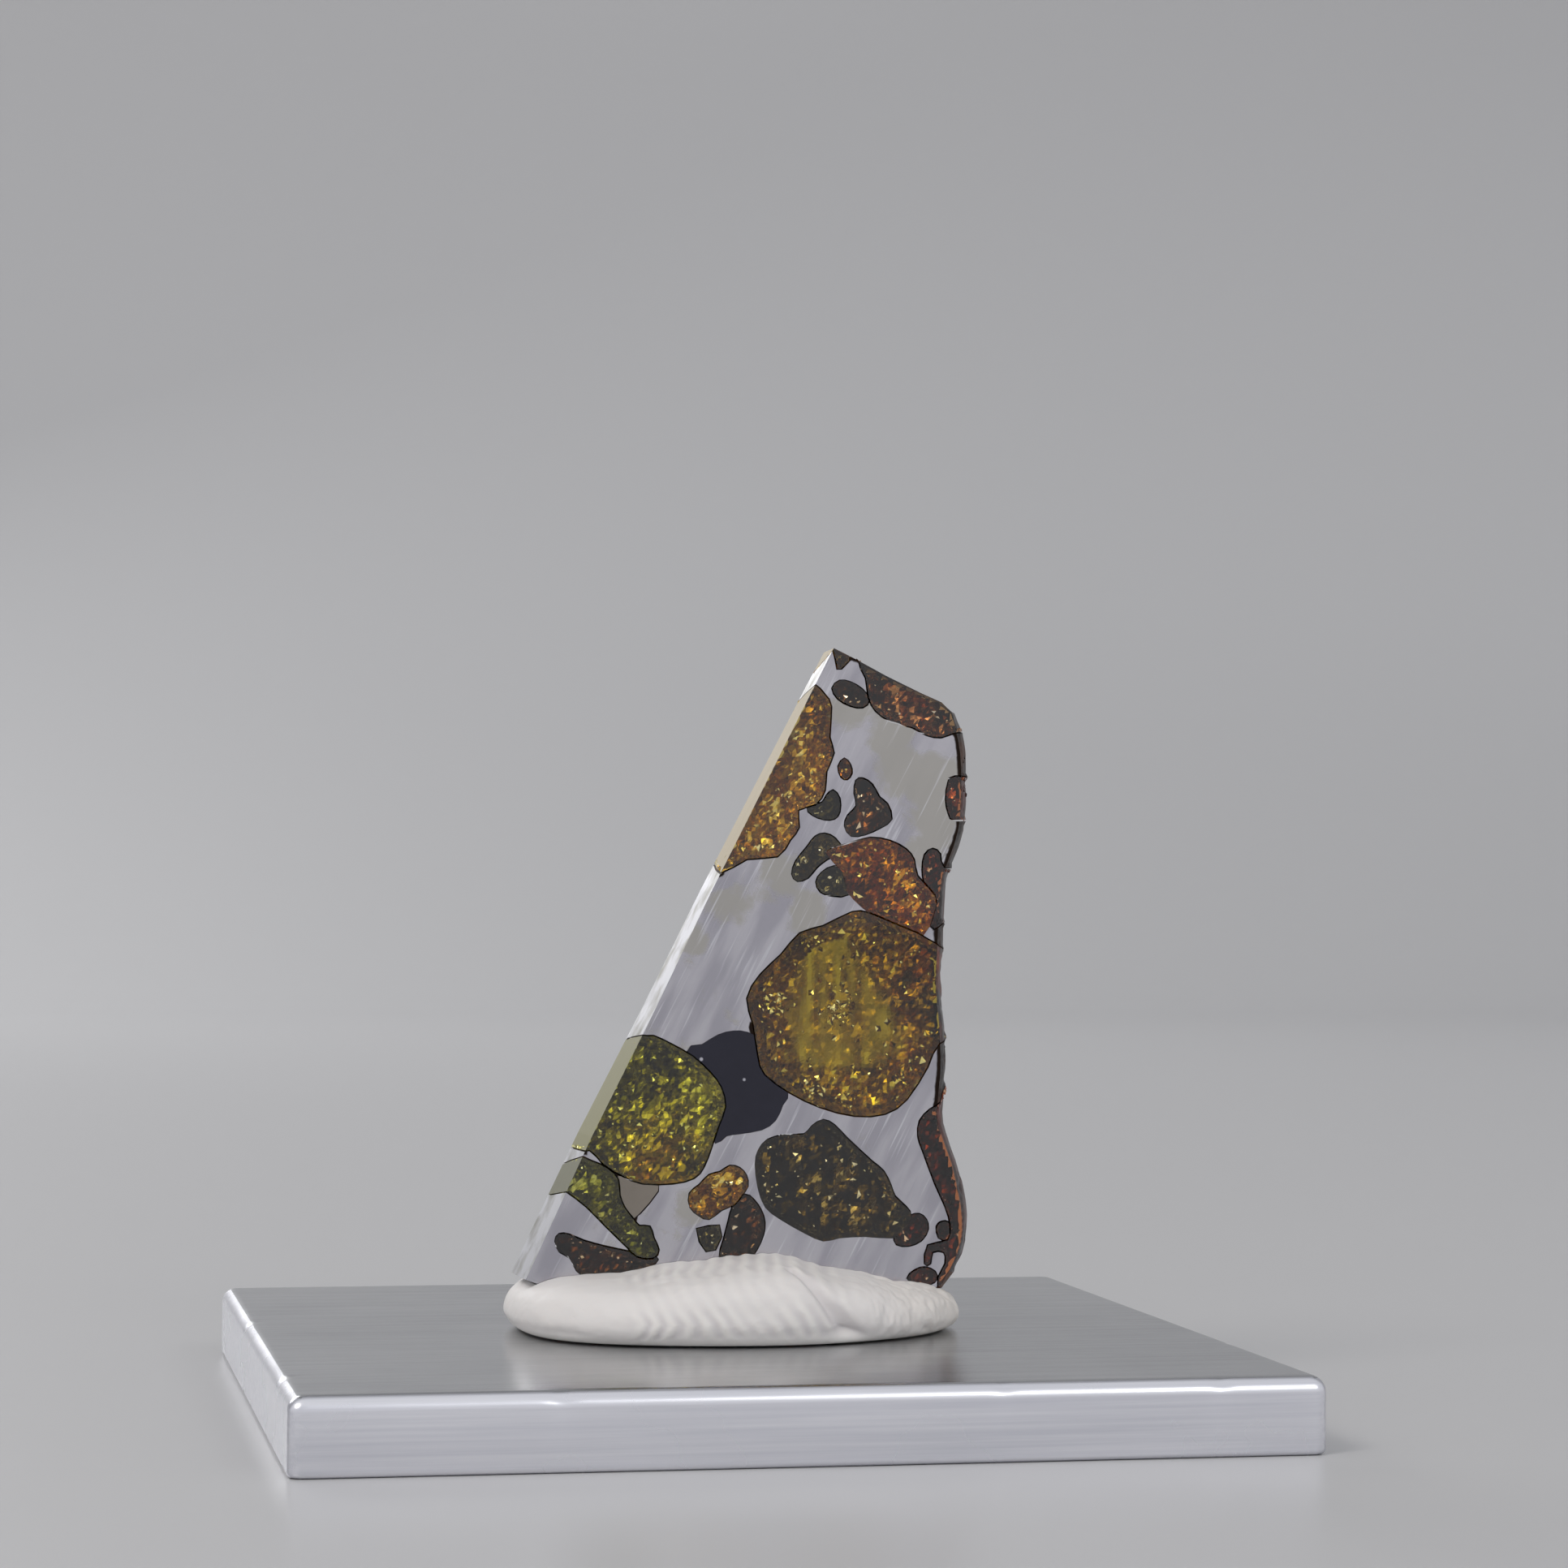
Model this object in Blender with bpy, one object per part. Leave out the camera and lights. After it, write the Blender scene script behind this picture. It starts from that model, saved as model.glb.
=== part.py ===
"""Slice of a pallasite meteorite, held upright by a lump of putty on a small aluminium plate.

The slice is a thin saw-cut slab of nickel-iron. Olivine crystals, a chromite grain and a troilite
patch sit in pockets of the metal, flush with both polished faces. Lengths are metres, +Z is up, the
polished front faces -Y, and the origin is the middle of the plate's underside.
"""

import math
from dataclasses import dataclass

import bmesh
import bpy

MM = 0.001

# Plate: a square cut from drawn flat bar, with rolled edges
PLATE_SIDE = 25.0 * MM
PLATE_THICKNESS = 1.9 * MM
PLATE_CORNER = 0.35 * MM
PLATE_TOP_ROLL = 0.38 * MM
PLATE_FOOT_ROLL = 0.16 * MM
PLATE_ROLL_ON_CORNER = 0.6
ROLL_STEPS = 3
CORNER_STEPS = 4

# Slice: the polished front and back lie in planes of constant y
SLICE_FRONT = -1.0 * MM
SLICE_THICKNESS = 2.0 * MM
SLICE_BACK = SLICE_FRONT + SLICE_THICKNESS
CUTTER_OVERRUN = 0.3 * MM

# Clearances between neighbouring pieces, kept small because the grains are small
GRAIN_GAP = 0.04 * MM
PUTTY_GAP = 0.05 * MM

# Putty: its plan is a rounded slab along the slice, and its crest follows the foot of the slice
PUTTY_CENTRE_X = 0.08 * MM
PUTTY_CENTRE_Y = -0.15 * MM
PUTTY_HALF_WIDTH = 6.05 * MM
PUTTY_HALF_DEPTH = 4.75 * MM
PUTTY_PLAN_POWER = 2.35
PUTTY_SIDES = 52
PUTTY_FOLD_ANGLE = math.radians(-61.0)
PUTTY_FOLD_SPREAD = math.radians(5.0)
PUTTY_FOLD_DEPTH = 0.30 * MM

# Soft lobes of the putty's plan (how many round the lump, phase, height) and dimples on its top
PUTTY_LOBES = ((3, 0.6, 0.10 * MM), (5, 2.1, 0.07 * MM))
PUTTY_DIMPLE = 0.05 * MM
PUTTY_DIMPLES_ALONG = 0.9 / MM
PUTTY_DIMPLES_ACROSS = 1.1 / MM

# Share of the putty's plan radius and of its height, from the foot up to the crest
PUTTY_PROFILE = (
    (0.945, 0.00),
    (0.985, 0.10),
    (1.000, 0.27),
    (0.985, 0.49),
    (0.940, 0.68),
    (0.850, 0.83),
    (0.680, 0.93),
    (0.440, 0.98),
    (0.180, 1.00),
)

# Height of the putty above the plate along x, in millimetres
PUTTY_CREST = (
    (-6.2, 1.62),
    (-4.4, 1.66),
    (-3.0, 1.60),
    (-1.6, 1.86),
    (1.0, 2.02),
    (2.6, 1.70),
    (4.6, 1.42),
    (6.3, 1.30),
)

# Front outline of the slice, in millimetres of x and z. The saw cut is the straight left side.
CUT_EDGE = ((-5.46, 3.34), (-3.75, 7.05), (-2.08, 10.40), (-0.60, 13.50), (2.00, 18.68), (2.66, 19.98))
TOP_EDGE = ((3.25, 19.70), (4.10, 19.26), (5.05, 18.82), (5.62, 18.58), (5.92, 18.28))
NATURAL_EDGE = (
    (6.02, 17.80),
    (6.14, 17.20),
    (6.17, 16.20),
    (6.10, 15.20),
    (5.86, 14.45),
    (5.66, 13.92),
    (5.58, 13.20),
    (5.54, 12.20),
    (5.50, 11.00),
    (5.60, 9.90),
    (5.64, 8.75),
    (5.54, 7.60),
    (5.68, 7.00),
    (5.96, 6.25),
    (6.20, 5.20),
    (6.26, 4.50),
    (6.12, 3.85),
    (5.70, 3.05),
)
BURIED_EDGE = ((4.60, 2.66), (2.60, 2.44), (0.40, 2.36), (-2.00, 2.48), (-4.00, 2.82))

# How far the back of the saw cut stands off the front, at its foot and at its tip
CUT_SKEW_FOOT = -0.12 * MM
CUT_SKEW_TIP = 0.16 * MM

# The natural side swells outwards between the two faces: depth from the front, and swelling
NATURAL_SWELL = ((0.0, 0.0), (0.25, 0.17), (0.80, 0.38), (1.35, 0.48), (1.80, 0.46), (2.0, 0.34))
TOP_SWELL_RISE = 0.4
SIDE_SWELL_RISE = 0.5

# How a grain narrows on its way back: where its middle ring lies, and how late the narrowing comes
GRAIN_MIDDLE = 0.55
GRAIN_TAPER_POWER = 1.6


@dataclass(frozen=True)
class Grain:
    """One mineral grain: its outline on the polished front and how it runs back through the slice.

    outline is in millimetres of x and z. back is the size of the outline on the far face, lean is
    how far its middle shifts on the way there, and depth is how far back it reaches.
    """

    name: str
    finish: str
    outline: tuple
    back: float = 0.85
    lean: tuple = (0.0, 0.0)
    depth: float = 2.0
    steps: int = 2
    at_edge: bool = False
    behind: tuple = ()


GRAINS = (
    Grain(
        "olivine_large", "amber",
        ((3.15, 13.00), (2.35, 12.62), (1.70, 12.42), (1.20, 11.85), (0.62, 11.30), (0.26, 10.66),
         (0.44, 9.95), (0.58, 9.10), (0.76, 8.62), (1.45, 8.12), (2.30, 7.72), (3.25, 7.48),
         (4.10, 7.53), (4.70, 7.92), (5.28, 8.80), (5.62, 9.45), (6.70, 9.75), (6.70, 11.70),
         (5.62, 12.08), (5.00, 12.42), (4.20, 12.74), (3.60, 12.98)),
        back=0.72, lean=(0.34, 0.16), at_edge=True,
    ),
    Grain(
        "olivine_upper", "honey",
        ((2.46, 14.55), (3.05, 14.76), (3.66, 14.94), (4.22, 14.86), (4.66, 14.64), (4.88, 14.36),
         (4.98, 13.92), (5.46, 13.40), (5.44, 12.95), (5.12, 12.30), (4.50, 12.44), (3.95, 12.72),
         (3.42, 13.12), (3.06, 13.50), (2.94, 14.02)),
        back=0.78, lean=(0.10, 0.18), behind=("olivine_large",),
    ),
    Grain(
        "olivine_saw_edge", "gold",
        ((2.14, 19.04), (2.44, 18.76), (2.62, 18.44), (2.58, 17.62), (2.70, 17.20), (2.50, 16.70),
         (2.46, 16.20), (2.22, 15.83), (1.74, 15.66), (1.76, 15.20), (1.52, 14.86), (1.18, 14.42),
         (0.35, 14.34), (-0.34, 13.98), (-1.10, 14.20), (1.50, 19.30)),
        back=0.90, lean=(-0.12, -0.05), at_edge=True,
    ),
    Grain(
        "olivine_crown", "umber",
        ((3.30, 19.72), (3.52, 19.18), (3.60, 18.66), (3.80, 18.30), (4.20, 18.04), (4.80, 17.88),
         (5.20, 17.68), (5.60, 17.62), (6.00, 17.76), (6.90, 17.90), (6.50, 19.40), (3.50, 20.80)),
        back=0.92, lean=(0.10, 0.14), at_edge=True,
    ),
    Grain(
        "olivine_tip", "gold",
        ((2.74, 19.72), (2.80, 19.42), (2.90, 19.44), (3.12, 19.66), (3.10, 20.60), (2.50, 20.60)),
        back=1.0, lean=(-0.30, 0.0), steps=1, at_edge=True,
    ),
    Grain(
        "olivine_bean", "umber",
        ((2.62, 18.92), (2.82, 19.12), (3.12, 19.08), (3.44, 18.90), (3.64, 18.62), (3.46, 18.42),
         (3.12, 18.46), (2.78, 18.64)),
        back=0.80, lean=(0.0, -0.08), behind=("olivine_crown",),
    ),
    Grain(
        "olivine_droplet", "honey",
        ((2.96, 17.05), (3.12, 16.88), (3.16, 16.66), (3.04, 16.50), (2.88, 16.56), (2.80, 16.84)),
        back=0.75, lean=(0.03, -0.05),
    ),
    Grain(
        "olivine_twin", "umber",
        ((3.28, 16.46), (3.46, 16.52), (3.72, 16.36), (3.92, 16.02), (4.14, 15.84), (4.26, 15.44),
         (3.94, 15.20), (3.52, 15.02), (3.16, 14.98), (2.98, 15.24), (3.06, 15.52), (3.30, 15.78),
         (3.24, 16.12)),
        back=0.82, lean=(0.05, 0.06),
    ),
    Grain(
        "olivine_smoky", "olive",
        ((2.66, 16.20), (2.84, 15.98), (2.84, 15.62), (2.70, 15.44), (2.42, 15.42), (2.10, 15.54),
         (1.96, 15.72), (2.36, 15.86), (2.48, 16.04)),
        back=0.80, lean=(0.02, 0.0), behind=("olivine_saw_edge",),
    ),
    Grain(
        "olivine_fork", "olive",
        ((1.56, 13.96), (1.66, 14.30), (1.96, 14.68), (2.18, 14.96), (2.44, 15.04), (2.72, 14.92),
         (2.90, 14.60), (2.50, 14.36), (2.22, 14.14), (1.98, 13.86), (1.70, 13.78)),
        back=0.85, lean=(0.04, 0.02), behind=("olivine_upper",),
    ),
    Grain(
        "olivine_oval", "olive",
        ((2.70, 14.18), (2.36, 14.00), (2.22, 13.76), (2.34, 13.50), (2.66, 13.40), (3.10, 13.44),
         (3.16, 14.00)),
        back=0.85, lean=(0.0, -0.04), behind=("olivine_upper",),
    ),
    Grain(
        "olivine_side_bean", "garnet",
        ((5.98, 16.60), (5.80, 16.42), (5.74, 16.00), (5.82, 15.60), (6.02, 15.44), (7.00, 15.60),
         (7.00, 16.45)),
        back=0.95, lean=(0.10, 0.0), at_edge=True,
    ),
    Grain(
        "olivine_side_twin", "garnet",
        ((5.16, 14.50), (5.38, 14.66), (5.58, 14.52), (5.70, 14.14), (6.60, 13.95), (6.60, 12.75),
         (5.72, 12.66), (5.42, 12.52), (5.22, 12.80), (5.36, 13.30), (5.16, 13.72), (5.10, 14.10)),
        back=0.92, lean=(0.12, 0.05), at_edge=True, behind=("olivine_upper",),
    ),
    Grain(
        "olivine_lower_left", "lime",
        ((-2.46, 9.72), (-2.10, 9.70), (-1.60, 9.47), (-1.05, 9.16), (-0.58, 8.74), (-0.28, 8.34),
         (-0.16, 7.84), (-0.34, 7.32), (-0.52, 6.78), (-0.72, 6.26), (-0.98, 5.96), (-1.55, 5.82),
         (-2.36, 5.83), (-2.90, 6.04), (-3.40, 6.34), (-3.78, 6.72), (-4.70, 6.90), (-3.20, 10.20)),
        back=0.95, lean=(-0.30, -0.12), at_edge=True,
    ),
    Grain(
        "chromite_grain", "chromite",
        ((-1.30, 9.20), (-0.84, 9.46), (-0.40, 9.72), (0.00, 9.82), (0.40, 9.78), (0.75, 9.50),
         (1.50, 8.30), (1.36, 7.86), (1.16, 7.44), (0.80, 7.20), (0.20, 7.10), (-0.18, 7.04),
         (-0.46, 6.84), (-0.60, 7.40)),
        back=0.80, depth=1.2, behind=("olivine_large", "olivine_lower_left"),
    ),
    Grain(
        "olivine_green", "green",
        ((-4.30, 6.62), (-3.78, 6.48), (-3.30, 6.26), (-3.02, 5.96), (-2.98, 5.56), (-2.84, 5.22),
         (-2.60, 4.92), (-2.44, 4.74), (-2.16, 4.72), (-2.06, 4.42), (-1.92, 4.10), (-2.06, 3.90),
         (-2.48, 3.94), (-2.76, 4.20), (-3.34, 4.76), (-3.86, 5.28), (-4.42, 5.70), (-4.90, 6.00)),
        back=0.90, lean=(-0.20, -0.34), at_edge=True, behind=("olivine_lower_left",),
    ),
    Grain(
        "troilite_patch", "troilite",
        ((-3.04, 6.02), (-2.50, 5.94), (-1.96, 5.86), (-1.98, 5.62), (-2.22, 5.30), (-2.46, 5.04),
         (-2.62, 4.90), (-2.94, 5.26), (-3.10, 5.60)),
        back=0.9, depth=0.6, steps=1, behind=("olivine_lower_left", "olivine_green"),
    ),
    Grain(
        "olivine_foot_left", "umber",
        ((-4.70, 4.34), (-4.60, 4.52), (-4.34, 4.50), (-3.96, 4.34), (-3.40, 4.18), (-2.95, 4.08),
         (-2.50, 3.98), (-2.02, 3.90), (-2.04, 3.72), (-2.60, 3.52), (-3.10, 3.40), (-3.80, 3.40),
         (-4.12, 3.56), (-4.30, 3.90), (-4.58, 4.06)),
        back=0.86, lean=(0.02, 0.02), behind=("olivine_green",),
    ),
    Grain(
        "olivine_cluster", "gold",
        ((-1.14, 5.54), (-0.88, 5.76), (-0.62, 6.02), (-0.32, 6.10), (-0.06, 6.26), (0.20, 6.20),
         (0.38, 6.00), (0.42, 5.72), (0.24, 5.46), (0.06, 5.24), (-0.28, 5.10), (-0.62, 4.86),
         (-0.88, 4.96), (-1.12, 5.18)),
        back=0.82, lean=(0.0, 0.05),
    ),
    Grain(
        "olivine_shield", "olive",
        ((-0.94, 4.62), (-0.62, 4.68), (-0.34, 4.70), (-0.28, 4.40), (-0.44, 4.06), (-0.68, 4.02),
         (-0.86, 4.28)),
        back=0.8, steps=1,
    ),
    Grain(
        "olivine_black", "umber",
        ((0.04, 5.24), (0.34, 5.50), (0.58, 5.36), (0.78, 5.08), (0.88, 4.76), (0.84, 4.42),
         (0.68, 4.06), (0.44, 3.78), (0.00, 3.72), (-0.32, 3.86), (-0.22, 4.30), (-0.10, 4.76)),
        back=0.84, lean=(0.0, 0.06), behind=("olivine_cluster",),
    ),
    Grain(
        "olivine_lower_right", "bronze",
        ((0.60, 6.30), (0.68, 6.66), (0.92, 6.94), (1.35, 7.06), (1.92, 7.08), (2.14, 7.30),
         (2.44, 7.46), (2.74, 7.32), (3.10, 6.96), (3.76, 6.36), (4.10, 6.08), (4.30, 5.70),
         (4.42, 5.40), (4.74, 5.10), (4.86, 4.86), (4.60, 4.50), (4.36, 4.30), (3.60, 4.35),
         (2.90, 4.32), (2.46, 4.24), (1.95, 4.46), (1.28, 4.84), (0.88, 5.16), (0.68, 5.68)),
        back=0.80, lean=(0.05, 0.10),
    ),
    Grain(
        "olivine_bead", "garnet",
        ((4.84, 4.90), (5.08, 4.94), (5.26, 4.80), (5.32, 4.54), (5.14, 4.24), (4.80, 4.10),
         (4.46, 4.14), (4.40, 4.40), (4.60, 4.70)),
        back=0.78, behind=("olivine_lower_right",),
    ),
    Grain(
        "olivine_lower_side", "garnet",
        ((5.92, 8.34), (5.66, 7.90), (5.34, 7.72), (5.06, 7.42), (5.02, 7.00), (5.16, 6.60),
         (5.50, 5.72), (5.78, 5.12), (5.92, 4.62), (5.84, 4.22), (5.30, 4.10), (5.22, 3.62),
         (5.36, 3.62), (5.42, 3.92), (5.74, 3.92), (5.78, 3.60), (5.58, 2.90), (7.00, 2.60),
         (7.20, 8.30)),
        back=0.97, lean=(0.16, 0.0), at_edge=True,
    ),
    Grain(
        "olivine_side_bead", "garnet",
        ((5.56, 4.60), (5.70, 4.72), (5.88, 4.70), (5.98, 4.44), (5.84, 4.26), (5.62, 4.30)),
        back=0.8, lean=(-0.04, 0.06), behind=("olivine_lower_side",),
    ),
    Grain(
        "olivine_foot_right", "garnet",
        ((4.76, 3.24), (4.96, 3.44), (5.24, 3.52), (5.52, 3.40), (5.56, 3.20), (5.40, 3.08),
         (5.04, 3.08)),
        back=0.8, lean=(-0.04, 0.02), behind=("olivine_lower_side",),
    ),
)

# Colour, roughness, metallic and transmission of each finish
FINISHES = {
    "aluminium": ((0.62, 0.63, 0.66), 0.32, 1.0, 0.0),
    "nickel_iron": ((0.50, 0.50, 0.54), 0.18, 1.0, 0.0),
    "putty": ((0.86, 0.83, 0.79), 0.65, 0.0, 0.0),
    "chromite": ((0.02, 0.02, 0.035), 0.15, 0.3, 0.0),
    "troilite": ((0.30, 0.27, 0.25), 0.35, 0.8, 0.0),
    "amber": ((0.62, 0.38, 0.03), 0.05, 0.0, 0.8),
    "honey": ((0.66, 0.36, 0.05), 0.05, 0.0, 0.8),
    "gold": ((0.75, 0.50, 0.08), 0.05, 0.0, 0.8),
    "lime": ((0.60, 0.55, 0.05), 0.05, 0.0, 0.8),
    "green": ((0.28, 0.30, 0.06), 0.05, 0.0, 0.8),
    "olive": ((0.22, 0.20, 0.08), 0.05, 0.0, 0.8),
    "bronze": ((0.20, 0.16, 0.05), 0.05, 0.0, 0.8),
    "umber": ((0.12, 0.07, 0.03), 0.05, 0.0, 0.8),
    "garnet": ((0.10, 0.03, 0.015), 0.05, 0.0, 0.8),
}


def clear_scene():
    """Removes every object of the open scene."""
    for item in list(bpy.data.objects):
        bpy.data.objects.remove(item, do_unlink=True)


def finish_material(name):
    """Returns the Principled material of one finish, made once."""
    found = bpy.data.materials.get(name)
    if found:
        return found
    colour, roughness, metallic, transmission = FINISHES[name]
    made = bpy.data.materials.new(name)
    made.use_nodes = True
    shader = made.node_tree.nodes["Principled BSDF"]
    shader.inputs["Base Color"].default_value = (*colour, 1.0)
    shader.inputs["Roughness"].default_value = roughness
    shader.inputs["Metallic"].default_value = metallic
    shader.inputs["Transmission Weight"].default_value = transmission
    return made


def loft(name, rings, finish, guide=False):
    """Makes a closed solid from rings of points, each with the same count, and caps both ends."""
    mesh = bmesh.new()
    loops = [[mesh.verts.new(point) for point in ring] for ring in rings]
    count = len(loops[0])
    for lower, upper in zip(loops, loops[1:]):
        for i in range(count):
            j = (i + 1) % count
            mesh.faces.new((lower[i], lower[j], upper[j], upper[i]))
    mesh.faces.new(list(reversed(loops[0])))
    mesh.faces.new(loops[-1])
    bmesh.ops.recalc_face_normals(mesh, faces=mesh.faces)
    data = bpy.data.meshes.new(name)
    mesh.to_mesh(data)
    mesh.free()
    data.materials.append(finish_material(finish))
    item = bpy.data.objects.new(name, data)
    bpy.context.scene.collection.objects.link(item)
    if guide:
        item.hide_render = True
        item.display_type = "WIRE"
    return item


def combine(item, other, operation):
    """Adds an exact Boolean modifier to item."""
    step = item.modifiers.new(f"{operation.lower()} {other.name}", "BOOLEAN")
    step.object = other
    step.operation = operation
    step.solver = "EXACT"


def rounded(points, steps, closed=True):
    """Runs a smooth curve through points, with steps points for each span."""
    if steps == 1:
        return list(points)
    last = len(points) - 1
    curve = []
    for i in range(last + 1 if closed else last):
        if closed:
            a, b, c, d = (points[(i + k) % (last + 1)] for k in (-1, 0, 1, 2))
        else:
            a, b, c, d = (points[min(max(i + k, 0), last)] for k in (-1, 0, 1, 2))
        for s in range(steps):
            t = s / steps
            curve.append(tuple(spline_value(a[k], b[k], c[k], d[k], t) for k in (0, 1)))
    if not closed:
        curve.append(points[-1])
    return curve


def spline_value(a, b, c, d, t):
    """Catmull-Rom value between b and c at share t."""
    slope_b = (c - a) / 2
    slope_c = (d - b) / 2
    return (
        (2 * t**3 - 3 * t**2 + 1) * b
        + (t**3 - 2 * t**2 + t) * slope_b
        + (3 * t**2 - 2 * t**3) * c
        + (t**3 - t**2) * slope_c
    )


def table_value(table, x):
    """Reads a table of x and value pairs, with a smooth run between them."""
    if x <= table[0][0]:
        return table[0][1]
    for (x0, v0), (x1, v1) in zip(table, table[1:]):
        if x <= x1:
            t = (x - x0) / (x1 - x0)
            return v0 + (v1 - v0) * t * t * (3 - 2 * t)
    return table[-1][1]


def winding(points):
    """Returns 1 for an anticlockwise outline and -1 for a clockwise one."""
    area = 0.0
    for (x0, z0), (x1, z1) in zip(points, points[1:] + points[:1]):
        area += x0 * z1 - x1 * z0
    return 1.0 if area > 0 else -1.0


def outward(points, i, turn):
    """Unit direction out of an outline at point i."""
    before = points[i - 1]
    after = points[(i + 1) % len(points)]
    dx = after[0] - before[0]
    dz = after[1] - before[1]
    length = math.hypot(dx, dz)
    return (turn * dz / length, -turn * dx / length)


def grown(points, distance):
    """Moves each point of an outline out by distance."""
    turn = winding(points)
    moved = []
    for i, (x, z) in enumerate(points):
        nx, nz = outward(points, i, turn)
        moved.append((x + nx * distance, z + nz * distance))
    return moved


def centre(points):
    """Middle of an outline's box."""
    xs = [p[0] for p in points]
    zs = [p[1] for p in points]
    return ((min(xs) + max(xs)) / 2, (min(zs) + max(zs)) / 2)


def grain_rings(grain, gap, front_overrun, back_overrun):
    """Rings of a grain from the polished face backwards, grown by gap on every side."""
    outline = rounded([(x * MM, z * MM) for x, z in grain.outline], grain.steps)
    cx, cz = centre(outline)
    deep = grain.depth * MM

    def ring(y, share):
        scale = 1.0 + (grain.back - 1.0) * share**GRAIN_TAPER_POWER
        dx = grain.lean[0] * MM * share
        dz = grain.lean[1] * MM * share
        flat = [(cx + (x - cx) * scale + dx, cz + (z - cz) * scale + dz) for x, z in outline]
        return [(x, y, z) for x, z in grown(flat, gap)]

    rings = [
        ring(SLICE_FRONT, 0.0),
        ring(SLICE_FRONT + GRAIN_MIDDLE * deep, GRAIN_MIDDLE),
        ring(SLICE_FRONT + deep, 1.0),
    ]
    if front_overrun:
        rings[0] = ring(SLICE_FRONT - front_overrun, 0.0)
    if back_overrun:
        rings[-1] = ring(SLICE_FRONT + deep + back_overrun, 1.0)
    return rings


def slice_rings(gap):
    """Rings of the slice from the polished front to the back, grown by gap on every side."""
    smooth_side = rounded(NATURAL_EDGE, 2, closed=False)
    outline = [*CUT_EDGE, *TOP_EDGE, *smooth_side, *BURIED_EDGE]
    outline = [(x * MM, z * MM) for x, z in outline]
    turn = winding(outline)
    cut_count = len(CUT_EDGE)
    top_count = len(TOP_EDGE)
    side_end = cut_count + top_count + len(smooth_side)
    foot_z = outline[0][1]
    tip_z = outline[cut_count - 1][1]
    rings = []
    for depth, swell in NATURAL_SWELL:
        ring = []
        share = depth * MM / SLICE_THICKNESS
        for i, (x, z) in enumerate(outline):
            nx, nz = outward(outline, i, turn)
            if i < cut_count:
                along = (z - foot_z) / (tip_z - foot_z)
                skew = CUT_SKEW_FOOT + (CUT_SKEW_TIP - CUT_SKEW_FOOT) * along
                px, pz = x + skew * share, z
            elif i < cut_count + top_count:
                part = (i - cut_count + 1) / (top_count + 1)
                px = x + nx * swell * MM * part
                pz = z + nz * swell * MM * part * TOP_SWELL_RISE
            elif i < side_end:
                px = x + nx * swell * MM
                pz = z + nz * swell * MM * SIDE_SWELL_RISE
            else:
                px, pz = x, z
            ring.append((px + nx * gap, SLICE_FRONT + depth * MM, pz + nz * gap))
        rings.append(ring)
    if gap:
        rings[0] = [(x, SLICE_FRONT - gap, z) for x, y, z in rings[0]]
        rings[-1] = [(x, SLICE_BACK + gap, z) for x, y, z in rings[-1]]
    return rings


def build_plate():
    """The aluminium plate: a rounded square with rolled top and foot edges."""
    rings = []
    for step in range(ROLL_STEPS + 1):
        angle = math.radians(90.0 * step / ROLL_STEPS)
        inset = PLATE_FOOT_ROLL * (1 - math.sin(angle))
        rings.append((inset, PLATE_FOOT_ROLL * (1 - math.cos(angle))))
    for step in range(ROLL_STEPS + 1):
        angle = math.radians(90.0 * step / ROLL_STEPS)
        inset = PLATE_TOP_ROLL * (1 - math.cos(angle))
        rings.append((inset, PLATE_THICKNESS - PLATE_TOP_ROLL * (1 - math.sin(angle))))
    loft("base_plate", [plate_ring(inset, z) for inset, z in rings], "aluminium")


def plate_ring(inset, z):
    """One level of the plate: a square with round corners, drawn in by inset."""
    half = PLATE_SIDE / 2 - PLATE_CORNER
    radius = PLATE_CORNER - inset * PLATE_ROLL_ON_CORNER
    reach = half - inset * (1.0 - PLATE_ROLL_ON_CORNER)
    ring = []
    for quarter, (sx, sy) in enumerate(((1, 1), (-1, 1), (-1, -1), (1, -1))):
        for step in range(CORNER_STEPS + 1):
            angle = math.radians(90.0 * (quarter + step / CORNER_STEPS))
            ring.append((sx * reach + radius * math.cos(angle), sy * reach + radius * math.sin(angle), z))
    return ring


def putty_radius(angle):
    """Plan radius of the putty: a superellipse with a few soft lobes and one fold."""
    c = abs(math.cos(angle)) / PUTTY_HALF_WIDTH
    s = abs(math.sin(angle)) / PUTTY_HALF_DEPTH
    radius = (c**PUTTY_PLAN_POWER + s**PUTTY_PLAN_POWER) ** (-1 / PUTTY_PLAN_POWER)
    for count, phase, height in PUTTY_LOBES:
        radius += height * math.sin(count * angle + phase)
    off_fold = (angle - PUTTY_FOLD_ANGLE + math.pi) % (2 * math.pi) - math.pi
    return radius - PUTTY_FOLD_DEPTH * math.exp(-((off_fold / PUTTY_FOLD_SPREAD) ** 2))


def build_putty(slot):
    """The lump of putty, with a slot for the foot of the slice."""
    foot = PLATE_THICKNESS + PUTTY_GAP
    rings = []
    for share, rise in PUTTY_PROFILE:
        ring = []
        for i in range(PUTTY_SIDES):
            angle = 2 * math.pi * i / PUTTY_SIDES
            radius = putty_radius(angle) * share
            x = PUTTY_CENTRE_X + radius * math.cos(angle)
            y = PUTTY_CENTRE_Y + radius * math.sin(angle)
            crest = table_value(PUTTY_CREST, x / MM) * MM
            dimple = math.sin(PUTTY_DIMPLES_ALONG * x + 1.0) * math.sin(PUTTY_DIMPLES_ACROSS * y)
            ring.append((x, y, foot + (crest + PUTTY_DIMPLE * dimple * rise) * rise))
        rings.append(ring)
    lump = loft("putty", rings, "putty")
    combine(lump, slot, "DIFFERENCE")


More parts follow.
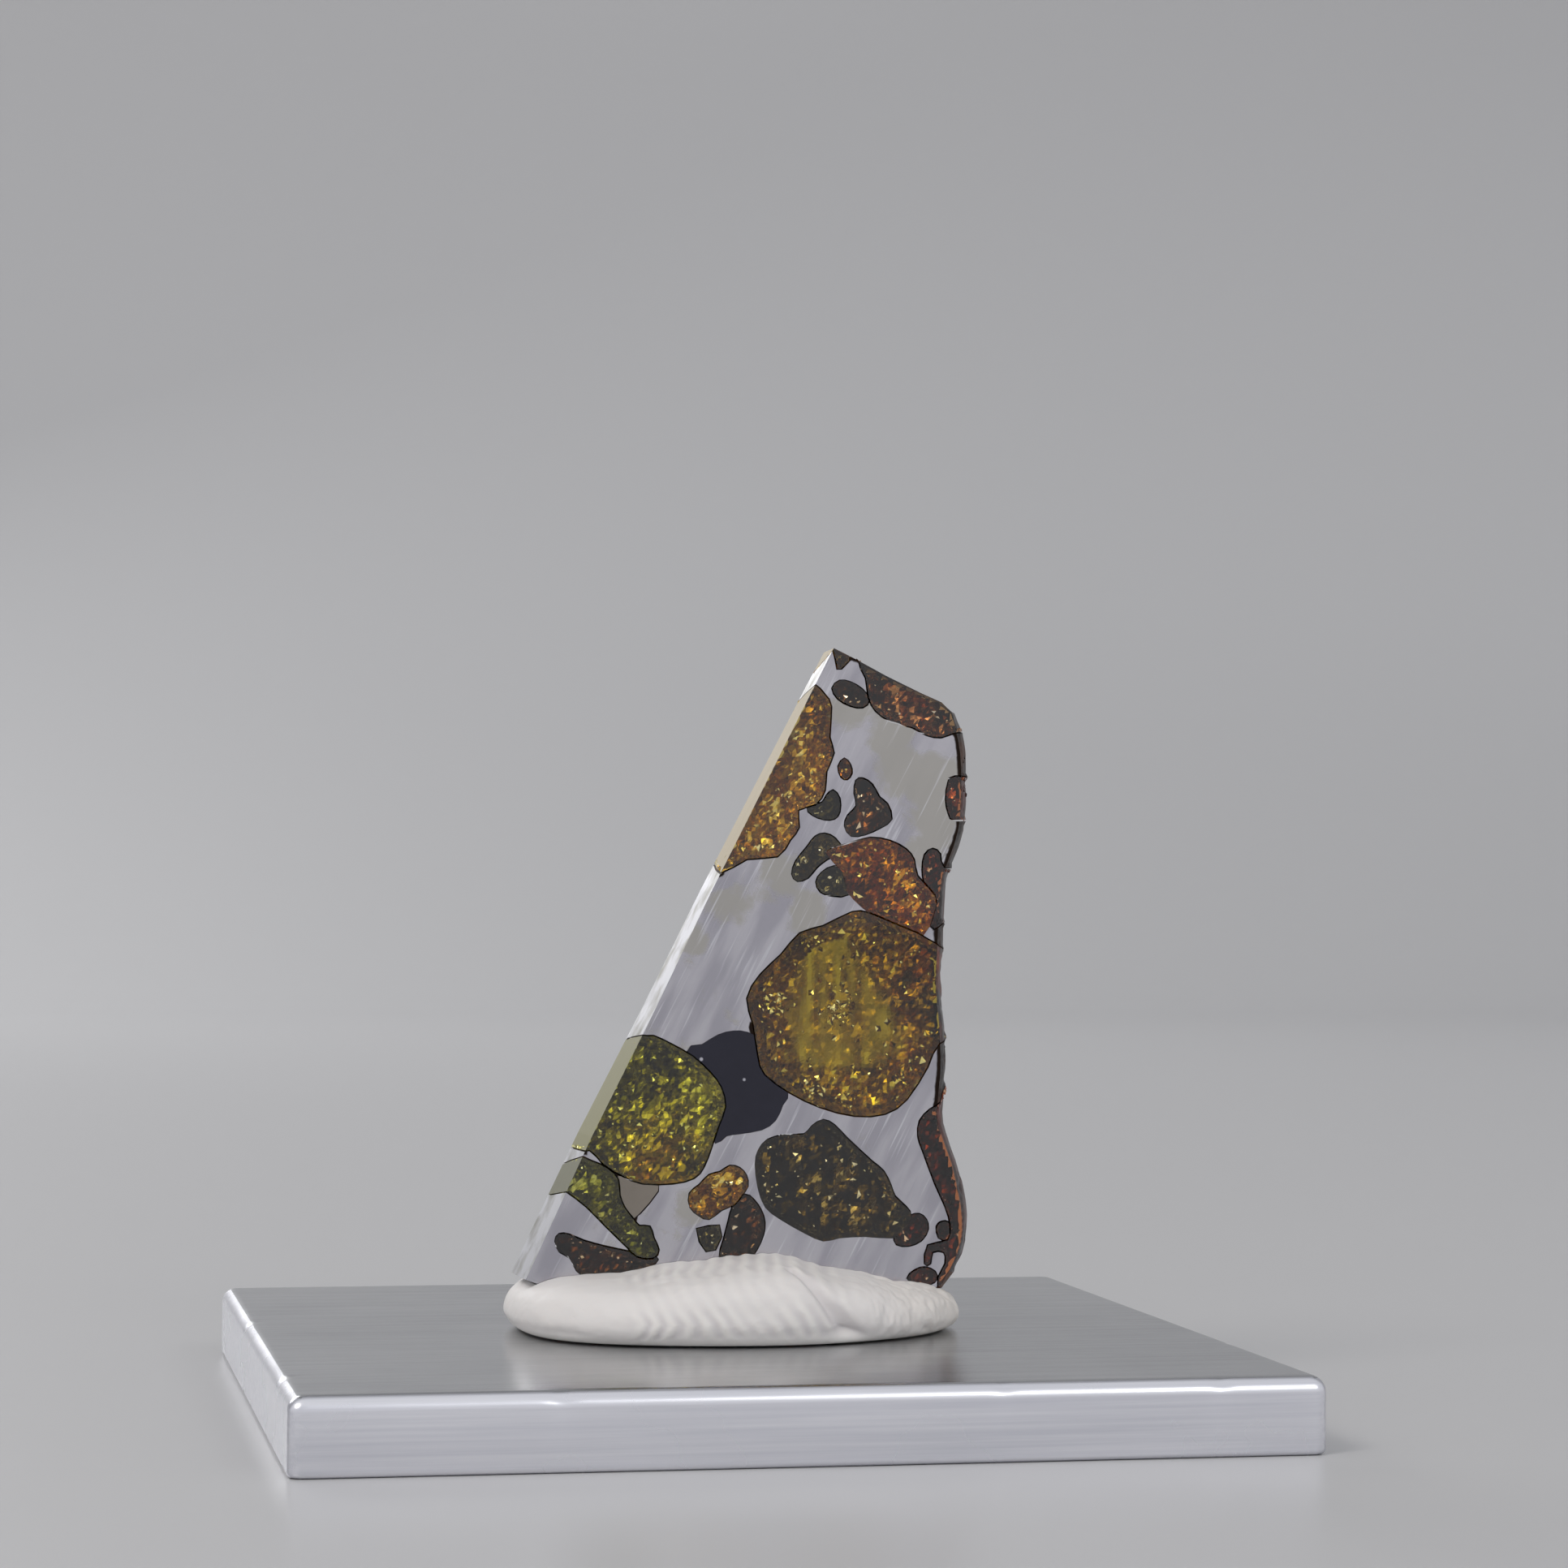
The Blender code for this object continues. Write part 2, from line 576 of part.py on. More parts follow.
def build_slice():
    """The nickel-iron slab with a pocket for each grain, and the grains themselves."""
    body = loft("nickel_iron", slice_rings(0.0), "nickel_iron")
    stencil = loft("slice_stencil", slice_rings(0.0), "nickel_iron", guide=True)
    pockets = {}
    for grain in GRAINS:
        through = grain.depth * MM >= SLICE_THICKNESS
        overrun = CUTTER_OVERRUN if through else GRAIN_GAP
        rings = grain_rings(grain, GRAIN_GAP, CUTTER_OVERRUN, overrun)
        pockets[grain.name] = loft(f"pocket_{grain.name}", rings, grain.finish, guide=True)
        combine(body, pockets[grain.name], "DIFFERENCE")
    for grain in GRAINS:
        overrun = CUTTER_OVERRUN if grain.at_edge else 0.0
        piece = loft(grain.name, grain_rings(grain, 0.0, overrun, overrun), grain.finish)
        if grain.at_edge:
            combine(piece, stencil, "INTERSECT")
        for neighbour in grain.behind:
            combine(piece, pockets[neighbour], "DIFFERENCE")


def main():
    """Builds the plate, the putty and the slice."""
    clear_scene()
    build_plate()
    slot = loft("putty_slot", slice_rings(PUTTY_GAP), "putty", guide=True)
    build_putty(slot)
    build_slice()


main()
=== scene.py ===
"""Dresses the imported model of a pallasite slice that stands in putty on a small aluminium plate.

The pallasite is a stony-iron meteorite: olivine crystals in nickel-iron, sawn 2 mm thin and polished on
both faces. Each crystal is a clear body with a stained, faceted boundary, a crackled veil inside it and
small golden glints. Lengths are metres, +Z is up and the polished front faces -Y.
"""

import logging
import math
from dataclasses import dataclass, field
from enum import Enum

import bmesh
import bpy
import numpy as np
from mathutils import Matrix, Vector
from mathutils.bvhtree import BVHTree


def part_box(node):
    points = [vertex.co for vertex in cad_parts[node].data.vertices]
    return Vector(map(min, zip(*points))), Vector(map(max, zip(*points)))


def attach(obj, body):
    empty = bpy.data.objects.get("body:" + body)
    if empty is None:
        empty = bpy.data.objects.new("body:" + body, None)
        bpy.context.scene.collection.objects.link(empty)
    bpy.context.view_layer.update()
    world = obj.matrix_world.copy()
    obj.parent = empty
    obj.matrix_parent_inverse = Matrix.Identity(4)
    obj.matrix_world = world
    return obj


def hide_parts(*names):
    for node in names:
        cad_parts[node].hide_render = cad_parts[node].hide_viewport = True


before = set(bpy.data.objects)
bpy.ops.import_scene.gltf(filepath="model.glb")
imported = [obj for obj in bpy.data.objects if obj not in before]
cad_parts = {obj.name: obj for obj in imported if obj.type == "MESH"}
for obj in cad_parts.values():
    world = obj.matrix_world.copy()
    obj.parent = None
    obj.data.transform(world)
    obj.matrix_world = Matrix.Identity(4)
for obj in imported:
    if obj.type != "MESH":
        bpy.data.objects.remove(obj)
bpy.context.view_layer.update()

LOG = logging.getLogger("pallasite")
MM = 0.001

# The slice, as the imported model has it: its polished planes and the way its saw cut faces
FRONT_Y = -1.0 * MM
BACK_Y = 1.0 * MM
CUT_NORMAL = np.array((-0.8987, 0.0, 0.4386))
FOOT_TOP = 3.45 * MM
PLANE_SLACK = 0.0005 * MM
GAP_REACH = 0.10 * MM
MERGE_DISTANCE = 0.00005 * MM
RIND_CELL = 0.16 * MM

STAND_NODES = ("base_plate", "putty")


class Zone(Enum):
    """What a face of the slice is, and the place of its material on the piece."""

    POLISHED = 0
    SAWN = 1
    RIND = 2
    BURIED = 3


class Side(Enum):
    """Which way a polished face of the slice looks."""

    FRONT = FRONT_Y
    BACK = BACK_Y


def linear(code: str) -> tuple[float, float, float]:
    """Turns an sRGB hex colour to linear values.

    Args:
        code: Six hex digits, with or without a leading hash.

    Returns:
        Red, green and blue from 0 to 1.
    """
    digits = code.lstrip("#")
    shares = [int(digits[i:i + 2], 16) / 255.0 for i in (0, 2, 4)]
    return tuple(c / 12.92 if c <= 0.04045 else ((c + 0.055) / 1.055) ** 2.4 for c in shares)


def rgba(code: str) -> tuple[float, float, float, float]:
    """Gives the linear colour of a hex code with full alpha."""
    return (*linear(code), 1.0)


def per_period(millimetres: float) -> float:
    """Gives the texture scale whose pattern repeats about every so many millimetres."""
    return 1.0 / (millimetres * MM)


def set_inputs(tree: bpy.types.NodeTree, node: bpy.types.Node, inputs: dict) -> None:
    """Gives inputs of a node their values and links, by the name or number of the input."""
    for key, value in inputs.items():
        if isinstance(value, bpy.types.NodeSocket):
            tree.links.new(value, node.inputs[key])
        else:
            node.inputs[key].default_value = value


def add_node(tree: bpy.types.NodeTree, kind: str, settings: dict | None = None,
             inputs: dict | None = None) -> bpy.types.Node:
    """Adds a shader node with its settings, values and links.

    Args:
        tree: The node tree to add to.
        kind: The node's type name after the word ShaderNode.
        settings: Properties of the node by name.
        inputs: Values or sockets by the name or number of the input.

    Returns:
        The new node.
    """
    node = tree.nodes.new(f"ShaderNode{kind}")
    for name, value in (settings or {}).items():
        setattr(node, name, value)
    set_inputs(tree, node, inputs or {})
    return node


def new_material(name: str) -> tuple[bpy.types.Material, bpy.types.NodeTree, bpy.types.Node]:
    """Makes a material and gives it with its tree and its Principled shader."""
    material = bpy.data.materials.new(name)
    material.use_nodes = True
    tree = material.node_tree
    return material, tree, tree.nodes["Principled BSDF"]


def place_of(tree: bpy.types.NodeTree) -> bpy.types.NodeSocket:
    """Gives the object coordinates of the shaded point."""
    return add_node(tree, "TexCoord").outputs["Object"]


def lattice_noise(points: np.ndarray, period: float, seed: int) -> np.ndarray:
    """Gives smooth value noise in space.

    Every corner of a cubic lattice has a fixed value, the fraction of a large sine of its address.
    A point blends the eight corners around it with a smooth step along each axis.

    Args:
        points: One row of x, y and z for each point, in metres.
        period: Size of a lattice cell in metres.
        seed: Picks another set of corner values.

    Returns:
        One value from 0 to 1 for each point.
    """
    scaled = np.asarray(points, float) / period
    cell = np.floor(scaled)
    part = scaled - cell
    ease = part * part * (3.0 - 2.0 * part)
    total = np.zeros(len(scaled))
    for corner in np.ndindex(2, 2, 2):
        address = cell + corner
        value = np.sin(address @ np.array((127.1, 311.7, 74.7)) + seed * 13.7) * 43758.5453
        weight = np.prod(np.where(np.array(corner) == 1, ease, 1.0 - ease), axis=1)
        total += weight * (value - np.floor(value))
    return total


def layered_noise(points: np.ndarray, period: float, layers: int, seed: int) -> np.ndarray:
    """Adds finer and weaker layers of lattice noise and gives values from about -1 to 1."""
    total = np.zeros(len(points))
    for layer in range(layers):
        fine = 0.5 ** layer
        total += fine * (2.0 * lattice_noise(points, period * fine, seed + layer) - 1.0)
    return total


def smooth_step(values: np.ndarray, low: float, high: float) -> np.ndarray:
    """Rises from 0 at low to 1 at high along a smooth step."""
    share = np.clip((values - low) / (high - low), 0.0, 1.0)
    return share * share * (3.0 - 2.0 * share)


def cell_pattern(points: np.ndarray, period: float, seed: int) -> tuple[np.ndarray, np.ndarray, np.ndarray]:
    """Splits space into irregular cells, each the part nearest to its own seed point.

    Every cube of a lattice holds one seed at a random place. A point belongs to the nearest seed of
    the 27 cubes around it.

    Args:
        points: One row of x, y and z for each point, in metres.
        period: Size of a cube in metres.
        seed: Picks another set of seeds.

    Returns:
        The way from the cell's seed to each point in periods, three random shares of the cell, and how
        much farther the second nearest seed is.
    """
    scaled = np.asarray(points, float) / period
    cube = np.floor(scaled)
    best = np.full(len(scaled), np.inf)
    second = best.copy()
    way = np.zeros_like(scaled)
    shares = np.zeros_like(scaled)
    mixer = np.array(((127.1, 311.7, 74.7), (269.5, 183.3, 246.1), (113.5, 271.9, 124.6)))
    for step in np.ndindex(3, 3, 3):
        address = cube + np.array(step) - 1.0
        place = np.sin(address @ mixer.T + seed * 3.1) * 43758.5453
        place -= np.floor(place)
        off = scaled - address - place
        distance = np.linalg.norm(off, axis=1)
        closer = distance < best
        second = np.where(closer, best, np.minimum(second, distance))
        best = np.where(closer, distance, best)
        way[closer] = off[closer]
        random = np.sin(address[closer] @ mixer + seed * 7.7) * 24634.6345
        shares[closer] = random - np.floor(random)
    return way, shares, second - best


def put_in_scene(name: str, data: bpy.types.ID) -> bpy.types.Object:
    """Makes an object of some data and links it to the scene."""
    thing = bpy.data.objects.new(name, data)
    bpy.context.scene.collection.objects.link(thing)
    return thing


def mesh_object(name: str, mesh: bpy.types.Mesh, materials: list[bpy.types.Material],
                replaced: tuple[str, ...] = ()) -> bpy.types.Object:
    """Puts a mesh in the scene as a piece of the part.

    Args:
        name: Name of the piece.
        mesh: Its finished mesh, in place.
        materials: Its materials, in the order of their places.
        replaced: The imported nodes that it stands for.

    Returns:
        The piece, riding on the part's body.
    """
    mesh.name = name
    for material in materials:
        mesh.materials.append(material)
    piece = put_in_scene(name, mesh)
    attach(piece, "root")
    if replaced:
        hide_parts(*replaced)
    LOG.info("%s: %d faces", name, len(mesh.polygons))
    return piece


def raw_mesh(name: str, points: np.ndarray, faces: np.ndarray | list, smooth: bool) -> bpy.types.Mesh:
    """Makes a mesh from points and faces, and sets its shading."""
    mesh = bpy.data.meshes.new(name)
    mesh.from_pydata(points.tolist(), [], faces if isinstance(faces, list) else faces.tolist())
    mesh.polygons.foreach_set("use_smooth", np.full(len(mesh.polygons), smooth))
    mesh.update()
    return mesh


def wrapped_grid(points: np.ndarray, name: str) -> bpy.types.Mesh:
    """Closes a grid of rings into a solid.

    The rings run from the middle of the underside to the middle of the top. Neighbouring rings are
    joined by quads, and the first and last ring by a fan round their own middle.

    Args:
        points: Array of ring, place on the ring and coordinate.
        name: Name of the mesh.

    Returns:
        The closed, smooth mesh.
    """
    rings, count, _ = points.shape
    along = np.arange(count)
    after = (along + 1) % count
    rows = []
    for ring in range(rings - 1):
        low = ring * count
        high = low + count
        rows.append(np.stack((low + along, low + after, high + after, high + along), axis=1))
    quads = np.concatenate(rows).tolist()
    flat = points.reshape(-1, 3)
    foot = len(flat)
    top = foot + 1
    flat = np.vstack((flat, points[0].mean(axis=0), points[-1].mean(axis=0)))
    last = (rings - 1) * count
    fans = [[foot, b, a] for a, b in zip(along.tolist(), after.tolist())]
    fans += [[top, last + a, last + b] for a, b in zip(along.tolist(), after.tolist())]
    return raw_mesh(name, flat, quads + fans, True)


def spline_rows(knots: np.ndarray, count: int) -> np.ndarray:
    """Runs a smooth curve through rows of knots and samples it evenly along the knots.

    Between two knots it is a cubic with the slopes that the neighbouring knots give.

    Args:
        knots: One row for each knot.
        count: How many samples.

    Returns:
        One row for each sample.
    """
    last = len(knots) - 1
    place = np.linspace(0.0, last, count)
    start = np.minimum(place.astype(int), last - 1)
    t = (place - start)[:, None]
    before, after = knots[np.maximum(start - 1, 0)], knots[np.minimum(start + 2, last)]
    a, b = knots[start], knots[start + 1]
    slope_a, slope_b = (b - before) / 2.0, (after - a) / 2.0
    return ((2 * t**3 - 3 * t**2 + 1) * a + (t**3 - 2 * t**2 + t) * slope_a
            + (3 * t**2 - 2 * t**3) * b + (t**3 - t**2) * slope_b)


# Finishes


@dataclass(frozen=True)
class ClearOlivine:
    """Gem olivine, polished: see-through and colourless at its surface, coloured by what it absorbs."""

    name: str
    through: str
    crossing: float = 2.0 * MM
    ior: float = 1.67
    roughness: float = 0.03
    frost: str = "FFFFFF"
    clearness: float = 1.0

    def build(self) -> bpy.types.Material:
        """Makes the material.

        The absorption is set so that white light leaves the crossing with the colour through.

        Returns:
            The clear material.
        """
        material, tree, shader = new_material(self.name)
        loss = -np.log(np.clip(linear(self.through), 0.001, 0.98)) / self.crossing
        density = float(loss.max())
        left = tuple(float(c) for c in 1.0 - loss / density)
        absorb = add_node(tree, "VolumeAbsorption", None, {"Color": (*left, 1.0), "Density": density})
        set_inputs(tree, tree.nodes["Material Output"], {"Volume": absorb.outputs["Volume"]})
        relief = add_node(tree, "TexNoise", None,
                          {"Vector": place_of(tree), "Scale": per_period(0.45), "Detail": 2.0})
        bump = add_node(tree, "Bump", None,
                        {"Height": relief.outputs["Fac"], "Strength": 0.12, "Distance": 0.01 * MM})
        set_inputs(tree, shader, {
            "Base Color": rgba(self.frost), "Roughness": self.roughness, "IOR": self.ior,
            "Transmission Weight": self.clearness, "Normal": bump.outputs["Normal"]})
        return material


@dataclass(frozen=True)
class CrackedOlivine:
    """The stained boundary of a crystal and the cracks inside it: mirror facets from dark to golden."""

    name: str
    tones: tuple[str, str, str, str]
    stops: tuple[float, float, float, float] = (0.16, 0.50, 0.76, 0.96)
    warm: str = "FF8A3C"
    roughness: float = 0.24
    metallic: float = 0.9
    streaked: bool = False

    def build(self) -> bpy.types.Material:
        """Makes the material.

        The attribute tone runs through the four tones, and the attribute warm turns them to orange.
        A streaked one is see-through where the attribute cover is low.
        """
        material, tree, shader = new_material(self.name)
        tone = add_node(tree, "Attribute", {"attribute_name": "tone"})
        warm = add_node(tree, "Attribute", {"attribute_name": "warm"})
        grain = add_node(tree, "TexNoise", None,
                         {"Vector": place_of(tree), "Scale": per_period(0.12), "Detail": 2.0})
        share = add_node(tree, "Math", {"operation": "MULTIPLY_ADD"},
                         {0: grain.outputs["Fac"], 1: 0.30, 2: tone.outputs["Fac"]})
        ramp = add_node(tree, "ValToRGB", None, {"Fac": share.outputs[0]})
        stops = ramp.color_ramp.elements
        stops[0].position, stops[1].position = self.stops[:2]
        for place in self.stops[2:]:
            stops.new(place)
        for stop, code in zip(stops, self.tones):
            stop.color = rgba(code)
        orange = add_node(tree, "Mix", {"data_type": "RGBA", "blend_type": "MULTIPLY"},
                          {0: warm.outputs["Fac"], 6: ramp.outputs["Color"], 7: rgba(self.warm)})
        set_inputs(tree, shader, {"Base Color": orange.outputs[2], "Roughness": self.roughness,
                                  "Metallic": self.metallic})
        if self.streaked:
            cover = add_node(tree, "Attribute", {"attribute_name": "cover"})
            set_inputs(tree, shader, {"Alpha": cover.outputs["Fac"]})
        return material


@dataclass(frozen=True)
class Glint:
    """A crack that throws light back like a small mirror."""

    name: str
    colour: str
    pale: str = "FFF8DC"
    roughness: float = 0.12

    def build(self) -> bpy.types.Material:
        """Makes the material."""
        material, tree, shader = new_material(self.name)
        tone = add_node(tree, "TexNoise", None,
                        {"Vector": place_of(tree), "Scale": per_period(0.3), "Detail": 1.0})
        colour = add_node(tree, "Mix", {"data_type": "RGBA"},
                          {0: tone.outputs["Fac"], 6: rgba(self.colour), 7: rgba(self.pale)})
        set_inputs(tree, shader, {"Base Color": colour.outputs[2], "Metallic": 1.0,
                                  "Roughness": self.roughness})
        return material


@dataclass(frozen=True)
class PolishedNickelIron:
    """Nickel-iron, ground and polished: silver with a lilac cast, fine scratches painted lighter as
    highlights, and hazy tarnish.
    """

    name: str = "polished nickel-iron"
    silver: str = "C8C6CC"
    haze: str = "B2AFA8"
    shade: str = "B2B0B8"
    crust: str = "2A211C"
    scratch_highlight: str = "E4E4EA"
    scratch_lean: float = 27.0

    def build(self) -> bpy.types.Material:
        """Makes the material.

        The scratches lean like the saw cut, as the last grinding left them. The attribute tarnish says
        where the haze lies, and the attribute crust is 1 at the weathered edge.
        """
        material, tree, shader = new_material(self.name)
        place = place_of(tree)
        cloud = add_node(tree, "TexNoise", None,
                         {"Vector": place, "Scale": per_period(1.6), "Detail": 5.0, "Roughness": 0.6,
                          "Distortion": 0.3})
        zone = add_node(tree, "Attribute", {"attribute_name": "tarnish"})
        reach = add_node(tree, "Math", {"operation": "MULTIPLY_ADD"},
                         {0: zone.outputs["Fac"], 1: 0.34, 2: cloud.outputs["Fac"]})
        haze = add_node(tree, "MapRange", {"interpolation_type": "SMOOTHSTEP"},
                        {"Value": reach.outputs[0], "From Min": 0.60, "From Max": 0.74, "To Max": 0.85})
        lean = (0.0, math.radians(self.scratch_lean), 0.0)
        along = add_node(tree, "Mapping", {"vector_type": "TEXTURE"},
                         {"Vector": place, "Rotation": lean, "Scale": (1.0, 1.0, 26.0)})
        lines = add_node(tree, "TexNoise", None,
                         {"Vector": along.outputs["Vector"], "Scale": per_period(0.09), "Detail": 2.0})
        scratch_highlight = add_node(tree, "MapRange", None,
                           {"Value": lines.outputs["Fac"], "From Min": 0.60, "From Max": 0.74})
        wide = add_node(tree, "Mapping", {"vector_type": "TEXTURE"},
                        {"Vector": place, "Rotation": lean, "Scale": (1.0, 1.0, 5.0)})
        smear = add_node(tree, "TexNoise", None,
                         {"Vector": wide.outputs["Vector"], "Scale": per_period(0.55), "Detail": 3.0})
        mottle = add_node(tree, "MapRange", {"interpolation_type": "SMOOTHSTEP"},
                          {"Value": smear.outputs["Fac"], "From Min": 0.34, "From Max": 0.66})
        body = add_node(tree, "Mix", {"data_type": "RGBA"},
                        {0: mottle.outputs["Result"], 6: rgba(self.shade), 7: rgba(self.silver)})
        tarnished = add_node(tree, "Mix", {"data_type": "RGBA"},
                             {0: haze.outputs["Result"], 6: body.outputs[2], 7: rgba(self.haze)})
        # painted highlight: the real scratch lines are mixed towards a lighter silver, as if they caught the
        # light
        faint = add_node(tree, "Math", {"operation": "MULTIPLY"},
                         {0: scratch_highlight.outputs["Result"], 1: 0.7})
        scratched = add_node(tree, "Mix", {"data_type": "RGBA"},
                             {0: faint.outputs[0], 6: tarnished.outputs[2], 7: rgba(self.scratch_highlight)})
        edge = add_node(tree, "Attribute", {"attribute_name": "crust"})
        worn = add_node(tree, "Math", {"operation": "MULTIPLY_ADD"},
                        {0: cloud.outputs["Fac"], 1: 0.8, 2: edge.outputs["Fac"]})
        rim = add_node(tree, "MapRange", {"interpolation_type": "SMOOTHSTEP"},
                       {"Value": worn.outputs[0], "From Min": 0.78, "From Max": 1.05})
        rimmed = add_node(tree, "Mix", {"data_type": "RGBA"},
                          {0: rim.outputs["Result"], 6: scratched.outputs[2], 7: rgba(self.crust)})
        roughness = add_node(tree, "Mix", {"data_type": "FLOAT"},
                             {0: haze.outputs["Result"], 2: 0.22, 3: 0.40})
        bump = add_node(tree, "Bump", None,
                        {"Height": lines.outputs["Fac"], "Strength": 0.10, "Distance": 0.01 * MM})
        set_inputs(tree, shader, {"Base Color": rimmed.outputs[2], "Roughness": roughness.outputs[0],
                                  "Metallic": 1.0, "Normal": bump.outputs["Normal"]})
        return material


@dataclass(frozen=True)
class SawnNickelIron:
    """Nickel-iron as the saw left it: bright, with fine lines across the cut."""

    name: str = "sawn nickel-iron"
    bright: str = "D6D6DA"
    dull: str = "9A9890"
    line_lean: float = 26.0

    def build(self) -> bpy.types.Material:
        """Makes the material. The blade's lines run up the cut and are drawn 0.08 mm apart to show."""
        material, tree, shader = new_material(self.name)
        place = place_of(tree)
        along = add_node(tree, "Mapping", {"vector_type": "TEXTURE"},
                         {"Vector": place, "Rotation": (0.0, math.radians(self.line_lean), 0.0),
                          "Scale": (1.0, 1.0, 20.0)})
        lines = add_node(tree, "TexNoise", None,
                         {"Vector": along.outputs["Vector"], "Scale": per_period(0.08), "Detail": 3.0})
        patches = add_node(tree, "TexNoise", None,
                           {"Vector": place, "Scale": per_period(0.9), "Detail": 3.0})
        share = add_node(tree, "MapRange", None,
                         {"Value": patches.outputs["Fac"], "From Min": 0.45, "From Max": 0.7})
        colour = add_node(tree, "Mix", {"data_type": "RGBA"},
                          {0: share.outputs["Result"], 6: rgba(self.bright), 7: rgba(self.dull)})
        bump = add_node(tree, "Bump", None,
                        {"Height": lines.outputs["Fac"], "Strength": 0.5, "Distance": 0.02 * MM})
        set_inputs(tree, shader, {"Base Color": colour.outputs[2], "Metallic": 1.0, "Roughness": 0.38,
                                  "Normal": bump.outputs["Normal"]})
        return material


@dataclass(frozen=True)
class WeatheredRind:
    """The outside of the stone, weathered: iron oxide, near black with rust brown, lumpy and half glossy."""

    name: str
    dark: str = "1B1512"
    rust: str = "4A2A16"
    roughness: float = 0.34

    def build(self) -> bpy.types.Material:
        """Makes the material."""
        material, tree, shader = new_material(self.name)
        place = place_of(tree)
        patches = add_node(tree, "TexNoise", None,
                           {"Vector": place, "Scale": per_period(1.3), "Detail": 5.0, "Roughness": 0.6})
        share = add_node(tree, "MapRange", {"interpolation_type": "SMOOTHSTEP"},
                         {"Value": patches.outputs["Fac"], "From Min": 0.42, "From Max": 0.68})
        colour = add_node(tree, "Mix", {"data_type": "RGBA"},
                          {0: share.outputs["Result"], 6: rgba(self.dark), 7: rgba(self.rust)})
        rough = add_node(tree, "MapRange", None,
                         {"Value": patches.outputs["Fac"], "To Min": self.roughness - 0.12,
                          "To Max": self.roughness + 0.22})
        grit = add_node(tree, "TexNoise", None,
                        {"Vector": place, "Scale": per_period(0.16), "Detail": 3.0})
        bump = add_node(tree, "Bump", None,
                        {"Height": grit.outputs["Fac"], "Strength": 0.5, "Distance": 0.03 * MM})
        set_inputs(tree, shader, {"Base Color": colour.outputs[2], "Roughness": rough.outputs["Result"],
                                  "Normal": bump.outputs["Normal"]})
        return material


@dataclass(frozen=True)
class PolishedOpaque:
    """A polished opaque mineral, such as chromite or troilite, with lint on it."""

    name: str
    colour: str
    second: str
    roughness: float
    metallic: float
    lint: str = "C8C8D2"
    lint_share: float = 0.0

    def build(self) -> bpy.types.Material:
        """Makes the material. Lint is drawn as sparse round specks about 0.1 mm across."""
        material, tree, shader = new_material(self.name)
        place = place_of(tree)
        cloud = add_node(tree, "TexNoise", None,
                         {"Vector": place, "Scale": per_period(1.0), "Detail": 4.0})
        colour = add_node(tree, "Mix", {"data_type": "RGBA"},
                          {0: cloud.outputs["Fac"], 6: rgba(self.colour), 7: rgba(self.second)})
        cells = add_node(tree, "TexVoronoi", {"feature": "F1"},
                         {"Vector": place, "Scale": per_period(0.42)})
        speck = add_node(tree, "MapRange", None,
                         {"Value": cells.outputs["Distance"], "From Min": 0.14, "From Max": 0.08,
                          "To Max": self.lint_share})
        pick = add_node(tree, "SeparateXYZ", None, {"Vector": cells.outputs["Color"]})
        few = add_node(tree, "Math", {"operation": "GREATER_THAN"}, {0: pick.outputs["X"], 1: 0.72})
        both = add_node(tree, "Math", {"operation": "MULTIPLY"},
                        {0: speck.outputs["Result"], 1: few.outputs[0]})
        dusted = add_node(tree, "Mix", {"data_type": "RGBA"},
                          {0: both.outputs[0], 6: colour.outputs[2], 7: rgba(self.lint)})
        set_inputs(tree, shader, {"Base Color": dusted.outputs[2], "Roughness": self.roughness,
                                  "Metallic": self.metallic})
        return material


@dataclass(frozen=True)
class AdhesivePutty:
    """White reusable adhesive: a matt, slightly greasy putty that shades to beige where it was handled."""

    name: str = "white adhesive putty"
    white: str = "E6E3DF"
    beige: str = "CDC3AE"
    # greyer colour painted into the valleys as shade
    painted_shade: str = "C4BFC2"

    def build(self) -> bpy.types.Material:
        """Makes the material. A stored attribute is 1 in the valleys of the ridges and folds, and there a
        greyer colour is painted in as shade.
        """
        material, tree, shader = new_material(self.name)
        place = place_of(tree)
        side = add_node(tree, "SeparateXYZ", None, {"Vector": place}).outputs["X"]
        stain = add_node(tree, "TexNoise", None,
                         {"Vector": place, "Scale": per_period(2.2), "Detail": 3.0})
        handled = add_node(tree, "MapRange", {"interpolation_type": "SMOOTHSTEP"},
                           {"Value": side, "From Min": 2.5 * MM, "From Max": 7.0 * MM})
        share = add_node(tree, "Math", {"operation": "MULTIPLY"},
                         {0: handled.outputs["Result"], 1: stain.outputs["Fac"]})
        body = add_node(tree, "Mix", {"data_type": "RGBA"},
                        {0: share.outputs[0], 6: rgba(self.white), 7: rgba(self.beige)})
        # painted shade: a greyer colour is mixed into the valleys of the ridges and folds
        valley_shade = add_node(tree, "Attribute", {"attribute_name": "valley_shade"})
        deep = add_node(tree, "Math", {"operation": "MULTIPLY"},
                        {0: valley_shade.outputs["Fac"], 1: 0.55})
        colour = add_node(tree, "Mix", {"data_type": "RGBA"},
                          {0: deep.outputs[0], 6: body.outputs[2], 7: rgba(self.painted_shade)})
        skin = add_node(tree, "TexNoise", None,
                        {"Vector": place, "Scale": per_period(0.12), "Detail": 3.0})
        bump = add_node(tree, "Bump", None,
                        {"Height": skin.outputs["Fac"], "Strength": 0.18, "Distance": 0.02 * MM})
        set_inputs(tree, shader, {
            "Base Color": colour.outputs[2], "Roughness": 0.58, "Subsurface Weight": 0.12,
            "Subsurface Radius": (0.5 * MM, 0.4 * MM, 0.35 * MM), "Subsurface Scale": 1.0,
            "Normal": bump.outputs["Normal"]})
        return material


